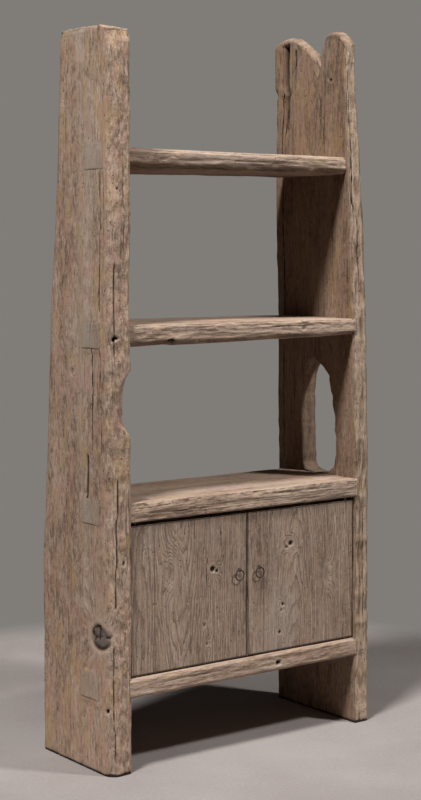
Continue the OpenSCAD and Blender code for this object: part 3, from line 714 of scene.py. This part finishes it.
# A shelf between the slabs. The height runs between its wavy underside and top, and the front edge's wave
# fades out towards the back.
def shelfShape(node):
    spec = shelves[node]
    seed = spec["seed"]
    low, high = nodeBox(node)
    start, end = leftInner - shelfReach, rightInner + shelfReach
    thick, wide = high[2] - low[2], high[1] - low[1]

    def place(l, u, w):
        x = start + l
        lift = 0.25 * spec["wave"] * np.abs(lineNoise(x, w * 0, 9, 1, seed))
        bottom = low[2] + lineExact(spec["rise"], x) + lift
        top = high[2] - lineExact(spec["sink"], x)
        share = u / thick
        wave = spec["wave"] * (0.5 + 0.5 * lineNoise(x, share, 6, 1.5, seed + 1, 3))
        torn = np.abs(lineNoise(x, share, 34, 2, seed + 2, 3))
        ragged = spec.get("ragged", 0) * smoothStep(0.55, 0.95, share) * torn
        y = low[1] + w + (wave + ragged) * (1 - w / wide)
        return x, bottom + share * (top - bottom), y

    def ridges(l, u, w, nl, nu, nw, flow):
        front = np.clip(-nw, 0, 1)
        line = 0.5 + 0.5 * np.sin(u * 900 + 3 * lineNoise(l, u, 6, 20, seed + 6))
        depth = spec.get("ridges", 0) * front * line
        return depth, depth * 0

    return {"axes": "xzy", "thick": thick, "wide": wide, "length": end - start, "radii": spec["radii"],
            "faceStep": 0.0055, "edgeStep": 0.0028, "rowStep": 0.0050, "endRadius": 0.002, "place": place,
            "seed": seed, "splits": spec["splits"], "knots": spec["knots"], "rough": spec["rough"],
            "carve": ridges,
            "pith": {"across": 0.16, "depth": 0.04, "slope": 0.05, "along": 0.3, "wander": 0.02}}


# The door planks, whose near face is the one that shows. meets is the edge where the two doors meet, 0
# for the left one and 1 for the right one.
doorPlanks = {
    "left_door_narrow_plank": {
        "seed": 301, "pith": {"across": 0.03, "depth": 0.05, "slope": 0.03, "along": 0.1},
        "knots": [], "splits": [],
    },
    "left_door_wide_plank": {
        "seed": 311, "meets": 1,
        "pith": {"across": 0.100, "depth": 0.030, "slope": 0.10, "along": 0.50, "wander": 0.018},
        "knots": [knot("near", 0.058, 0.292, 0.014, 0.030, 0.0004, dark=0.10, eye=0.045),
                  knot("near", 0.211, 0.283, 0.010, 0.010, 0.005, dark=0.9, eye=0.04),
                  knot("near", 0.226, 0.276, 0.006, 0.006, 0.004, dark=0.8),
                  knot("near", 0.180, 0.118, 0.006, 0.007, 0.002, dark=0.5, eye=0.02),
                  knot("near", 0.190, 0.060, 0.005, 0.006, 0.002, dark=0.5, eye=0.02)],
        "splits": [crack("near", 0.190, 0.23, 0.32, 0.004, 0.002, dark=0.7),
                   crack("near", 0.241, 0.35, 0.41, 0.004, 0.002, dark=0.8),
                   crack("near", 0.205, 0.19, 0.25, 0.003, 0.002, dark=0.6)],
    },
    "right_door_narrow_plank": {
        "seed": 321, "meets": 0, "pith": {"across": 0.03, "depth": 0.05, "slope": 0.02, "along": 0.3},
        "knots": [], "splits": [crack("near", 0.046, 0.30, 0.40, 0.003, 0.002, dark=0.5)],
    },
    "right_door_wide_plank": {
        "seed": 331, "pith": {"across": 0.13, "depth": 0.028, "slope": 0.10, "along": -0.02, "wander": 0.02},
        "knots": [knot("near", 0.106, 0.329, 0.010, 0.009, 0.004, dark=0.85, eye=0.04),
                  knot("near", 0.090, 0.318, 0.008, 0.005, 0.003, dark=0.6, eye=0.01),
                  knot("near", 0.075, 0.142, 0.006, 0.007, 0.003, dark=0.8, eye=0.03),
                  knot("near", 0.070, 0.124, 0.004, 0.006, 0.003, dark=0.7),
                  knot("near", 0.063, 0.056, 0.006, 0.007, 0.003, dark=0.7, eye=0.02),
                  knot("near", 0.255, 0.215, 0.012, 0.024, 0.0004, dark=0.10, eye=0.035)],
        "splits": [crack("near", 0.083, 0.26, 0.34, 0.003, 0.002, dark=0.5),
                   crack("near", 0.170, 0.30, 0.40, 0.003, 0.002, dark=0.4)],
    },
}
plankRough = {"front": 0.0004, "face": 0.0010, "arris": 0.0008, "hacks": 0.0}


# A door plank: soft early wood is brushed out between the harder rings, dirt lies in its joints, and painted
# shadow darkens its top, its bottom and the edge where the doors meet
def plankShape(node):
    spec = doorPlanks[node]
    low, high = nodeBox(node)
    wide, thick, long = high - low

    def place(l, u, w):
        return low[2] + l, low[1] + u, low[0] + w

    def brushed(l, u, w, nl, nu, nw, flow):
        fine = np.abs(roughNoise(flow, (5, 130, 130), spec["seed"] + 30, 2))
        joint = np.minimum(w, wide - w)
        outline = np.minimum(long - l + 0.002, l)
        if "meets" in spec:
            outline = np.minimum(outline, np.abs(w - wide * spec["meets"]) + 0.0012)
        shown = 0.25 + 0.75 * np.clip(-nu, 0, 1)
        # dark joints between the planks, and a painted shadow along the door's top, bottom and meeting edge,
        # strongest on the face that shows
        jointDirtAndGapShadow = 0.30 * (1 - smoothStep(0.0006, 0.0020, joint))
        jointDirtAndGapShadow = np.maximum(jointDirtAndGapShadow, 0.95 * shown * (1 - smoothStep(0.0025, 0.0052, outline)))
        return np.abs(nu) * 0.0008 * np.clip(0.8 - fine, 0, 1), jointDirtAndGapShadow

    return {"axes": "zyx", "thick": thick, "wide": wide, "length": long, "radii": (0.0008,) * 4,
            "arcSteps": 2, "faceStep": 0.0034, "edgeStep": 0.004, "rowStep": 0.0038, "endRadius": 0.0012,
            "faceRelief": 0.12, "place": place, "seed": spec["seed"],
            "splits": spec["splits"], "knots": spec["knots"],
            "rough": plankRough, "carve": brushed, "pith": spec["pith"]}


# A plain sawn board behind: back board, batten or door stop. Its saw marks are a sine along the board.
def sawnShape(low, high, axes, seed):
    order = [axisNumber[axis] for axis in axes]
    length, thick, wide = (high - low)[order]

    def place(l, u, w):
        return tuple(low[i] + value for i, value in zip(order, (l, u, w)))

    def sawMarks(l, u, w, nl, nu, nw, flow):
        mark = 0.5 + 0.5 * np.sin(l * 700 + 2.5 * lineNoise(l, w, 8, 6, seed + 4))
        return np.abs(nu) * 0.0005 * mark, mark * 0

    return {"axes": axes, "thick": thick, "wide": wide, "length": length, "radii": (0.0012,) * 4,
            "arcSteps": 2, "faceStep": 0.006, "edgeStep": 0.004, "rowStep": 0.0045, "endRadius": 0.001,
            "place": place, "seed": seed, "carve": sawMarks,
            "rough": {"front": 0.0006, "face": 0.0006, "arris": 0.0015, "hacks": 0},
            "pith": {"across": wide * 0.4, "depth": 0.03, "slope": 0.06, "along": length * 0.4,
                     "wander": 0.02}}


# A socket that can be used in sums: each operator adds the Math node that it stands for
class Wire:
    def __init__(self, socket):
        self.socket = socket
        self.tree = socket.id_data

    def calc(self, operation, *values):
        return addNode(self.tree, "ShaderNodeMath", {"operation": operation}, dict(enumerate(values)))

    def __add__(self, other):
        return self.calc("ADD", self, other)

    def __sub__(self, other):
        return self.calc("SUBTRACT", self, other)

    def __rsub__(self, other):
        return self.calc("SUBTRACT", other, self)

    def __mul__(self, other):
        return self.calc("MULTIPLY", self, other)

    def __truediv__(self, other):
        return self.calc("DIVIDE", self, other)

    __radd__ = __add__
    __rmul__ = __mul__

    # 0 below low, 1 above high, smooth between
    def ramp(self, low, high, bottom=0.0, top=1.0):
        values = {0: self, 1: low, 2: high, 3: bottom, 4: top}
        return addNode(self.tree, "ShaderNodeMapRange", {"interpolation_type": "SMOOTHSTEP"}, values)


# Adds a node: its type, its settings, then the values or links of its sockets; gives one output as a Wire
def addNode(tree, kind, settings=None, values=None, out=0):
    node = tree.nodes.new(kind)
    for key, value in (settings or {}).items():
        setattr(node, key, value)
    for key, value in (values or {}).items():
        if isinstance(value, Wire):
            tree.links.new(value.socket, node.inputs[key])
        else:
            node.inputs[key].default_value = value
    return Wire(node.outputs[out])


# Display colour, 0 to 255, as linear light: the share to the power 2.4, or straight in the darkest shades
def tint(colour):
    shares = [value / 255 for value in colour]
    return tuple(s / 12.92 if s <= 0.04045 else ((s + 0.055) / 1.055) ** 2.4 for s in shares) + (1.0,)


# b over a, by the factor
def mixColour(tree, factor, a, b):
    settings = {"data_type": "RGBA", "blend_type": "MIX", "clamp_factor": True}
    return addNode(tree, "ShaderNodeMix", settings, {0: factor, 6: a, 7: b}, out=2)


# The dictionary's colours, each as linear light
def tints(spec):
    return {key: tint(value) for key, value in spec.items() if isinstance(value, tuple)}


# A material, its node tree and its main shader
def newFinish(name):
    finish = bpy.data.materials.new(name)
    finish.use_nodes = True
    tree = finish.node_tree
    shader = next(node for node in tree.nodes if node.type == "BSDF_PRINCIPLED")
    return finish, tree, shader


# The vector with each of its axes scaled
def stretched(tree, vector, scale):
    return addNode(tree, "ShaderNodeVectorMath", {"operation": "MULTIPLY"}, {0: vector, 1: scale})


# Noise on the vector, in cells per metre along each axis
def noiseOn(tree, vector, scale, detail=2.0, roughness=0.55):
    place = stretched(tree, vector, scale)
    values = {"Vector": place, "Scale": 1.0, "Detail": detail, "Roughness": roughness}
    return addNode(tree, "ShaderNodeTexNoise", {"noise_dimensions": "3D"}, values)


# Weathered wood: display colours, and how strongly each pattern shows
woods = {
    "oldElm": {
        "pale": (200, 176, 158), "mid": (172, 147, 128), "deep": (122, 98, 82), "grey": (166, 155, 146),
        "ochre": (184, 152, 108), "rose": (188, 144, 128), "knot": (108, 99, 95), "crack": (52, 37, 29),
        "bright": (212, 192, 174), "ringSpace": 0.0080, "ringShow": 0.30, "streakShow": 0.30, "chip": 0.0048,
        "mottleShow": 1.9, "fleckShow": 0.32, "checkShow": 0.6, "roughness": 0.86, "bump": 0.9,
    },
    # the same elm painted darker, as painted shade, for the right slab, whose inner face lies in shadow
    "shadedElm": {
        "pale": (166, 142, 122), "mid": (140, 116, 97), "deep": (96, 76, 62), "grey": (140, 128, 118),
        "ochre": (150, 122, 86), "rose": (144, 114, 100), "knot": (90, 80, 74), "crack": (36, 26, 21),
        "bright": (206, 184, 164), "ringSpace": 0.0090, "ringShow": 0.30, "streakShow": 0.45, "chip": 0.0036,
        "mottleShow": 1.1, "fleckShow": 0.16, "checkShow": 0.6, "roughness": 0.88, "bump": 0.9,
    },
    "shelfElm": {
        "pale": (200, 178, 160), "mid": (172, 148, 130), "deep": (126, 103, 87), "grey": (166, 155, 146),
        "ochre": (176, 152, 122), "rose": (174, 144, 130), "knot": (100, 88, 80), "crack": (54, 40, 32),
        "bright": (208, 188, 170), "ringSpace": 0.0070, "ringShow": 0.35, "streakShow": 0.45, "chip": 0.0030,
        "mottleShow": 0.9, "fleckShow": 0.25, "checkShow": 0.45, "roughness": 0.86, "bump": 0.8,
    },
    "doorElm": {
        "pale": (188, 168, 152), "mid": (163, 142, 126), "deep": (122, 102, 88), "grey": (168, 158, 149),
        "ochre": (166, 144, 120), "rose": (164, 138, 124), "knot": (96, 82, 72), "crack": (50, 38, 31),
        "bright": (204, 188, 172), "ringSpace": 0.0068, "ringShow": 0.95, "streakShow": 1.0, "chip": 0.0014,
        "mottleShow": 0.9, "fleckShow": 0.50, "checkShow": 0.4, "roughness": 0.82, "bump": 0.7,
    },
    "innerBoards": {
        "pale": (170, 146, 126), "mid": (148, 124, 105), "deep": (110, 89, 74), "grey": (150, 138, 128),
        "ochre": (150, 126, 98), "rose": (150, 120, 104), "knot": (90, 76, 66), "crack": (42, 33, 27),
        "bright": (188, 166, 146), "ringSpace": 0.011, "ringShow": 0.40, "streakShow": 0.6, "chip": 0.001,
        "mottleShow": 0.6, "fleckShow": 0.15, "checkShow": 0.5, "roughness": 0.88, "bump": 0.5,
    },
    "greyPlugWood": {
        "pale": (192, 172, 156), "mid": (166, 146, 131), "deep": (128, 108, 94), "grey": (160, 150, 142),
        "ochre": (170, 148, 120), "rose": (172, 144, 130), "knot": (90, 80, 74), "crack": (40, 30, 25),
        "bright": (184, 172, 160), "ringSpace": 0.006, "ringShow": 0.25, "streakShow": 0.5, "chip": 0.0020,
        "mottleShow": 1.2, "fleckShow": 0.28, "checkShow": 0.3, "roughness": 0.84, "bump": 0.6,
    },
}


# Colour, roughness and a bump of the given height, in metres, into the shader
def joinShader(tree, shader, base, shine, height, strength):
    bump = addNode(tree, "ShaderNodeBump", None, {"Height": height, "Strength": strength, "Distance": 1.0})
    tree.links.new(base.socket, shader.inputs["Base Color"])
    tree.links.new(shine.socket, shader.inputs["Roughness"])
    tree.links.new(bump.socket, shader.inputs["Normal"])


# A wood's finish. Every pattern is noise stretched along the board's own grain: broad bands, streaks and
# fibres set the tone, then come growth rings, stains, dust, flecks, worn arrises and painted light, checks,
# pits, and the board's own dark marks and the painted shade in its hollows.
def woodFinish(name):
    spec = woods[name]
    colours = tints(spec)
    finish, tree, shader = newFinish(name)

    def field(key):
        return addNode(tree, "ShaderNodeAttribute", {"attribute_name": key}, out=2)

    def noise(scale, detail=2.0, roughness=0.55):
        return noiseOn(tree, grain, scale, detail, roughness)

    def over(factor, colour):
        return mixColour(tree, factor, base, colours[colour])

    grain = addNode(tree, "ShaderNodeAttribute", {"attribute_name": "grain"}, out=1)
    names = ("cavity", "wear", "ring", "grey", "relief")
    cavity, wear, ringAway, grey, relief = (field(key) for key in names)

    band = noise((0.9, 17, 17))
    blotch = noise((3.2, 9, 9), 3)
    streak = noise((9, 130, 130), 3, 0.6)
    fibre = noise((22, 620, 620), 2, 0.6)
    waver = noise((6, 40, 40))
    mottle = noise((40, 95, 95), 4, 0.7)
    chip = noise((44, 125, 125), 4, 0.65)
    tone = 0.5 + (band - 0.5) * 0.55 + (streak - 0.5) * 1.1 * spec["streakShow"] + (fibre - 0.5) * 0.7
    tone = tone + (blotch - 0.5) * 0.7 + (mottle - 0.5) * 0.9 * spec["mottleShow"]
    base = mixColour(tree, tone.ramp(0.22, 0.55), colours["deep"], colours["mid"])
    base = over(tone.ramp(0.50, 0.86), "pale")

    # a ring darkens slowly and ends at once
    phase = ringAway / spec["ringSpace"] + waver * 2.4
    saw = phase.calc("FRACT", phase)
    ringLine = saw.ramp(0.45, 0.92) * (1 - saw.ramp(0.93, 1.0))
    base = over(ringLine * spec["ringShow"], "deep")
    base = over(noise((11, 27, 27), 4, 0.6).ramp(0.48, 0.66) * 0.55, "ochre")
    base = over(noise((15, 33, 35), 4, 0.6).ramp(0.48, 0.66) * 0.55, "rose")
    base = over(noise((1.6, 6, 6), 3).ramp(0.50, 0.72) * 0.40, "grey")
    base = over(noise((60, 300, 300), 2, 0.6).ramp(0.56, 0.68) * spec["fleckShow"], "bright")
    # worn arrises and fronts, the painted highlight on knot rims and the painted light on a lit front take
    # the bright colour
    base = over(wear * (0.35 + streak * 0.5), "bright")

    # checks are fine dark cracks, only in some places, and so are pits
    checks = (1 - noise((5, 170, 170), 2, 0.5).ramp(0.30, 0.38)) * noise((2.2, 14, 14)).ramp(0.42, 0.60)
    pitSpot = addNode(tree, "ShaderNodeTexVoronoi", {"feature": "F1"},
                      {"Vector": stretched(tree, grain, (62, 95, 95)), "Scale": 1.0, "Randomness": 1.0})
    pits = (1 - pitSpot.ramp(0.10, 0.20)) * noise((24, 36, 36), 1).ramp(0.52, 0.60) * 0.8
    dark = pits.calc("MAXIMUM", checks * spec["checkShow"], pits)
    base = over(dark, "crack")
    base = over(grey * (0.65 + mottle * 0.4), "knot")
    base = over((0.47 - chip).ramp(0.0, 0.16) * relief * 0.55, "deep")
    # dark knots and glue lines, and the painted shade in cracks, the cleft, the door gaps and along the feet,
    # take the crack colour
    base = over(cavity.ramp(0.08, 0.85), "crack")

    height = streak * 0.0012 + fibre * 0.0005 - dark * 0.0022 - ringLine * (0.0009 * spec["ringShow"])
    height = height + chip * relief * spec["chip"]
    shine = spec["roughness"] + (fibre - 0.5) * 0.12 + dark * 0.08
    joinShader(tree, shader, base, shine, height, spec["bump"])
    shader.inputs["Specular IOR Level"].default_value = 0.25
    return finish


# Metals and plastic, with spots of a second colour. scale is in cells per metre, and bump in metres.
hardFinishes = {
    "darkIron": {"low": (34, 28, 26), "high": (66, 55, 49), "spot": (84, 60, 46), "scale": 320, "metal": 0.3,
                 "roughness": 0.62, "bump": 0.00012, "spots": 0.6},
    "zincSteel": {"low": (150, 152, 154), "high": (186, 188, 190), "spot": (126, 124, 120), "scale": 500,
                  "metal": 0.9, "roughness": 0.38, "bump": 0.00003, "spots": 0.25},
    "brass": {"low": (150, 116, 62), "high": (196, 158, 92), "spot": (110, 84, 50), "scale": 450,
              "metal": 0.9, "roughness": 0.36, "bump": 0.00003, "spots": 0.3},
    "brownPlastic": {"low": (70, 50, 38), "high": (88, 66, 50), "spot": (60, 44, 34), "scale": 1400,
                     "metal": 0.0, "roughness": 0.5, "bump": 0.00004, "spots": 0.2},
}


# A metal's or plastic's finish, on object coordinates: a mottle between two colours, and spots that dull it
def hardFinish(name):
    spec = hardFinishes[name]
    colours = tints(spec)
    finish, tree, shader = newFinish(name)
    place = addNode(tree, "ShaderNodeTexCoord", out=3)
    scale = spec["scale"]
    mottle = noiseOn(tree, place, (scale,) * 3, 3)
    spot = noiseOn(tree, place, (scale * 0.4,) * 3, 3).ramp(0.52, 0.66) * spec["spots"]
    base = mixColour(tree, mottle.ramp(0.3, 0.7), colours["low"], colours["high"])
    base = mixColour(tree, spot, base, colours["spot"])
    shine = spec["roughness"] + (mottle - 0.5) * 0.2 + spot * 0.2
    joinShader(tree, shader, base, shine, (mottle + spot) * spec["bump"], 1.0)
    tree.links.new((spec["metal"] - spot * spec["metal"] * 0.8).socket, shader.inputs["Metallic"])
    return finish


finishes = {name: woodFinish(name) for name in woods}
finishes.update({name: hardFinish(name) for name in hardFinishes})
print("finishes made", len(finishes))

finishPiece(boardPiece("leftSlab", leftShape), "carcass", "oldElm", "left_slab")
finishPiece(boardPiece("rightSlab", rightShape), "carcass", "shadedElm", "right_slab")
print("slabs made")


# A node's name as a piece's name: its words joined, each after the first with a capital
def pieceName(node):
    words = node.split("_")
    return words[0] + "".join(word.capitalize() for word in words[1:])


for node in shelves:
    finishPiece(boardPiece(pieceName(node), shelfShape(node)), "carcass", "shelfElm", node)
print("shelves made")

# The plugs. The right slab thins towards its top, and its plugs follow it inwards by more than it thins.
# footDepth is how deep the plug's lower edge is worn.
plugs = {"sunk": 0.0001, "follow": {"left": 0, "right": 1.12}, "glueDark": 0.45, "footDepth": 0.004,
         "finish": {"left": "greyPlugWood", "right": "innerBoards"}}


# A plug between two corners, with a dark glue line round it and a hollow in the middle of its lower edge that
# is painted dark as shade
def plugShape(low, high, seed):
    thick, wide, long = high - low

    def place(l, u, w):
        return low[2] + l, low[0] + u, low[1] + w

    def glueLineAndFootShade(l, u, w, nl, nu, nw, flow):
        rim = np.minimum(long - l, np.minimum(w, wide - w))
        line = plugs["glueDark"] * (1 - smoothStep(0.0004, 0.0022, rim))
        middle = np.exp(-((w - wide * 0.55) / (wide * 0.28)) ** 2)
        # the hollow at the plug's foot, carved and painted dark as shade
        foot = (1 - smoothStep(0.002, 0.0065, l)) * (0.35 + 0.65 * middle)
        return foot * plugs["footDepth"], np.maximum(line, foot)

    return {"axes": "zxy", "thick": thick, "wide": wide, "length": long, "radii": (0.0016,) * 4,
            "arcSteps": 2, "faceStep": 0.0028, "edgeStep": 0.003, "rowStep": 0.0028, "endRadius": 0.0016,
            "place": place, "seed": seed, "carve": glueLineAndFootShade,
            "rough": {"front": 0.0002, "face": 0.0003, "arris": 0.0004, "hacks": 0},
            "pith": {"across": 0.03, "depth": 0.04, "slope": 0.05, "along": 0.02, "wander": 0.01}}


for side in sides:
    node = side + "_slab_plugs"
    for number, (low, high) in enumerate(partBoxes(node)):
        thinned = lineThrough(rightSlab["thinning"], (low[2] + high[2]) / 2) * plugs["follow"][side]
        if side == "left":
            low[0] += plugs["sunk"] + thinned
        else:
            high[0] -= plugs["sunk"] + thinned
        plug = boardPiece("%sPlug%d" % (side, number + 1), plugShape(low, high, 401 + 7 * number))
        finishPiece(plug, "carcass", plugs["finish"][side], node)

for node in doorPlanks:
    body = node.split("_")[0] + "_door"
    finishPiece(boardPiece(pieceName(node), plankShape(node)), body, "doorElm", node)


# A plain sawn board between two corners
def addSawnBoard(name, corners, axes, seed, body, node):
    finishPiece(boardPiece(name, sawnShape(*corners, axes, seed)), body, "innerBoards", node)


swelling = np.array([0.0005, 0, 0])  # how far each back board swells towards its neighbours
for number in range(4):
    node = "back_board_%d" % (number + 1)
    low, high = nodeBox(node)
    corners = (low - swelling, high + swelling)
    addSawnBoard("backBoard%d" % (number + 1), corners, "zyx", 501 + 9 * number, "carcass", node)
addSawnBoard("stopRail", nodeBox("stop_rail"), "xyz", 551, "carcass", "stop_rail")
for side in sides:
    node = side + "_door_battens"
    for number, corners in enumerate(partBoxes(node)):
        name = "%sBatten%d" % (side, number + 1)
        addSawnBoard(name, corners, "xyz", 571 + 9 * number, side + "_door", node)
print("plugs, doors, back boards, rail and battens made")


# Smooth path through the points: each stretch is the cubic whose slopes are half the chord of its
# neighbours
def flowingPath(points, steps):
    points = np.array(points, float)
    stretch = np.arange(len(points) - 1)
    a, b, c, d = (points[np.clip(stretch + k, 0, len(points) - 1)][:, None] for k in (-1, 0, 1, 2))
    t = np.linspace(0, 1, steps, endpoint=False)[None, :, None]
    path = (2 * b + (c - a) * t + (2 * a - 5 * b + 4 * c - d) * t ** 2 + (3 * b - a - 3 * c + d) * t ** 3) / 2
    return np.concatenate([path.reshape(-1, 3), points[-1:]])


# Round wire: a circle of the radius r set square to the path at each of its points and hammered a little
# out of true. around is how many points the circle has. A closed path lies in a plane that faces
# forwards.
def wirePiece(name, path, radius, closed, seed, around):
    ahead = np.roll(path, -1, axis=0) - np.roll(path, 1, axis=0)
    if not closed:
        ahead[0], ahead[-1] = path[1] - path[0], path[-1] - path[-2]
    ahead /= np.linalg.norm(ahead, axis=1)[:, None]
    forwards, upwards = np.array([0.0, 1.0, 0.0]), np.array([0.0, 0.0, 1.0])
    side = np.cross(ahead, forwards if closed else upwards)
    weak = np.linalg.norm(side, axis=1) < 0.2
    side[weak] = np.cross(ahead[weak], forwards)
    side /= np.linalg.norm(side, axis=1)[:, None]
    lift = np.cross(side, ahead)
    turn = np.linspace(0, 2 * np.pi, around, endpoint=False)
    ring = np.cos(turn)[None, :, None] * side[:, None] + np.sin(turn)[None, :, None] * lift[:, None]
    hammered = 0.94 + 0.06 * roughNoise(path[:, None] + ring * radius, (260, 260, 260), seed, 2)
    points = (path[:, None] + ring * (radius * hammered)[..., None]).reshape(-1, 3)
    faces = gridQuads(len(path), around, closed=closed).tolist()
    if not closed:
        # the two cut ends close onto their centres
        centre = len(points)
        points = np.concatenate([points, path[[0, -1]]])
        first = np.arange(around)
        last = first + centre - around
        faces += np.stack([np.roll(first, -1), first, first * 0 + centre], axis=1).tolist()
        faces += np.stack([last, np.roll(last, -1), last * 0 + centre + 1], axis=1).tolist()
    return meshPiece(name, points, faces, merge=False)


# The pulls: a split-pin eye whose two legs go through the door and bend apart behind it, and a ring bent
# out of round
pulls = {"eyeRadius": 0.0052, "eyeWire": 0.0013, "legGap": 0.0011, "tail": 0.0125, "outOfRound": 0.03,
         "ringTurn": {"left": 0.7, "right": 2.2}, "neck": 0.003, "legBend": (0.010, 0.006, 0.001, 0.005)}


# One leg of the eye, from its cut end behind the door to the neck; out is -1 for the left leg and 1 for
# the right
def eyeLeg(eyeX, z, neck, backY, out):
    deep, short, corner, start = pulls["legBend"]
    return [(eyeX + out * pulls["tail"], backY, z), (eyeX + out * start, backY, z),
            (eyeX + out * corner, backY - corner, z), (eyeX, backY - short, z), (eyeX, neck + deep, z),
            (eyeX, neck, z)]


for side in sides:
    low, high = nodeBox(side + "_pull_ring")
    middle = (low + high) / 2
    wire = (high[1] - low[1]) / 2
    radius = (high[0] - low[0]) / 2 - wire
    turn = np.linspace(0, 2 * np.pi, 72, endpoint=False)
    bend = pulls["outOfRound"] * (0.5 + 0.5 * np.cos(3 * turn + pulls["ringTurn"][side]))
    bend = 1 - bend * (1 - np.abs(np.sin(turn)))
    path = np.stack([middle[0] + radius * bend * np.cos(turn), middle[1] + 0 * turn,
                     middle[2] + radius * np.sin(turn)], axis=1)
    ring = wirePiece(side + "PullRing", path, wire, True, 601, 18)
    finishPiece(ring, side + "_ring", "darkIron", side + "_pull_ring")

    low, high = nodeBox(side + "_pull_eye")
    eyeX, eyeZ = (low[0] + high[0]) / 2, (low[2] + high[2]) / 2
    eyeRadius, gap = pulls["eyeRadius"], pulls["legGap"]
    eyeY = low[1] + eyeRadius + pulls["eyeWire"]
    backY = high[1] - pulls["eyeWire"]
    neck = eyeY + eyeRadius + pulls["neck"]
    loop = [(eyeX, eyeY + eyeRadius * math.cos(angle), eyeZ + eyeRadius * math.sin(angle))
            for angle in np.radians(np.linspace(20, 340, 13))]
    legs = [eyeLeg(eyeX, eyeZ - out * gap, neck, backY, out) for out in (-1, 1)]
    path = flowingPath(legs[0] + loop + legs[1][::-1], 5)
    eye = wirePiece(side + "PullEye", path, pulls["eyeWire"], False, 611, 12)
    finishPiece(eye, side + "_door", "darkIron", side + "_pull_eye")
print("pulls made")

# The rest of the hardware keeps the frame's own shapes
sidedSteel = ("shelf_screws", "batten_screws", "pivot_pins", "strike_plate", "strike_screw")
hardware = {
    "darkIron": ["back_nails"] + [side + "_pull_washer" for side in sides],
    "zincSteel": ["stop_rail_screws", "catch_screws"]
                 + [side + "_" + part for side in sides for part in sidedSteel],
    "brass": ["pivot_bushes"],
    "brownPlastic": ["magnet_catches"],
}
for name, nodes in hardware.items():
    for node in nodes:
        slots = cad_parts[node].data.materials
        slots.clear()
        slots.append(finishes[name])
print("hardware finished")

# The floor, a pale disc that fades out: radius times the cosine and the sine of the angle
floorSpec = {"radius": 2.2, "rings": 12, "spokes": 64, "fadeFrom": 1.40, "fadeTo": 1.75,
             "pale": (163, 156, 153), "worn": (149, 141, 138), "roughness": 0.75, "specular": 0.2}
floorTints = tints(floorSpec)
radii, angles = np.meshgrid(np.linspace(0, floorSpec["radius"], floorSpec["rings"]),
                            np.linspace(0, 2 * np.pi, floorSpec["spokes"], endpoint=False), indexing="ij")
floorPoints = np.stack([radii * np.cos(angles), radii * np.sin(angles), radii * 0], axis=-1)
floor = meshPiece("floor", floorPoints, gridQuads(*radii.shape).tolist())
if floor.data.polygons[0].normal.z < 0:
    floor.data.flip_normals()
floorFinish, tree, shader = newFinish("paleFloor")
place = addNode(tree, "ShaderNodeTexCoord", out=3)
cloud = noiseOn(tree, place, (1.6, 1.6, 1.6), 4)
grit = noiseOn(tree, place, (90, 90, 90), 3)
shade = mixColour(tree, (cloud * 0.7 + grit * 0.3).ramp(0.35, 0.65), floorTints["worn"], floorTints["pale"])
away = addNode(tree, "ShaderNodeVectorMath", {"operation": "LENGTH"}, {0: place}, out=1)
tree.links.new(shade.socket, shader.inputs["Base Color"])
tree.links.new((1 - away.ramp(floorSpec["fadeFrom"], floorSpec["fadeTo"])).socket, shader.inputs["Alpha"])
shader.inputs["Roughness"].default_value = floorSpec["roughness"]
shader.inputs["Specular IOR Level"].default_value = floorSpec["specular"]
floor.data.materials.append(floorFinish)

# A steep soft light from the upper left and a weaker one from the upper right
lights = {
    "key": {"from": (-0.54, -0.25, 1.0), "distance": 10.0, "size": 1.7, "watts": 1190},
    "fill": {"from": (0.50, -0.75, 1.0), "distance": 8.0, "size": 0.9, "watts": 385},
}
lightColour = (1.0, 0.985, 0.965)
lightTarget = Vector((0.0, 0.0, 1.0))
for name, spec in lights.items():
    lamp = bpy.data.lights.new(name, "AREA")
    lamp.shape = "DISK"
    lamp.size = spec["size"]
    lamp.energy = spec["watts"]
    lamp.color = lightColour
    holder = bpy.data.objects.new(name, lamp)
    direction = Vector(spec["from"]).normalized()
    holder.location = lightTarget + direction * spec["distance"]
    holder.rotation_euler = direction.to_track_quat("Z", "Y").to_euler()
    bpy.context.scene.collection.objects.link(holder)

# The grey room is seen brighter than it shines, so shadows stay deep
room = tints({"seen": (128, 125, 121), "shining": (48, 46, 44)})
world = bpy.data.worlds.new("greyRoom")
world.use_nodes = True
seen = addNode(world.node_tree, "ShaderNodeLightPath")
roomColour = mixColour(world.node_tree, seen, room["shining"], room["seen"])
world.node_tree.links.new(roomColour.socket, world.node_tree.nodes["Background"].inputs["Color"])
bpy.context.scene.world = world
bpy.context.scene.view_settings.view_transform = "Standard"

# The camera, at eye level: metres, degrees, and millimetres of lens and sensor
cameraSpec = {"place": (-3.035, -4.068, 1.506), "yaw": 36.83, "pitch": -5.149, "roll": -0.054, "lens": 74.34,
              "sensor": 36.0}
camera = bpy.data.cameras.new("camera")
camera.sensor_width = cameraSpec["sensor"]
camera.lens = cameraSpec["lens"]
holder = bpy.data.objects.new("camera", camera)
yaw, pitch = math.radians(cameraSpec["yaw"]), math.radians(cameraSpec["pitch"])
forward = Vector((math.sin(yaw) * math.cos(pitch), math.cos(yaw) * math.cos(pitch), math.sin(pitch)))
turned = forward.to_track_quat("-Z", "Y").to_matrix().to_4x4()
holder.location = cameraSpec["place"]
holder.rotation_euler = turned.to_euler()
holder.rotation_euler.rotate_axis("Z", math.radians(cameraSpec["roll"]))
bpy.context.scene.collection.objects.link(holder)
bpy.context.scene.camera = holder
print("stage, light and camera set")
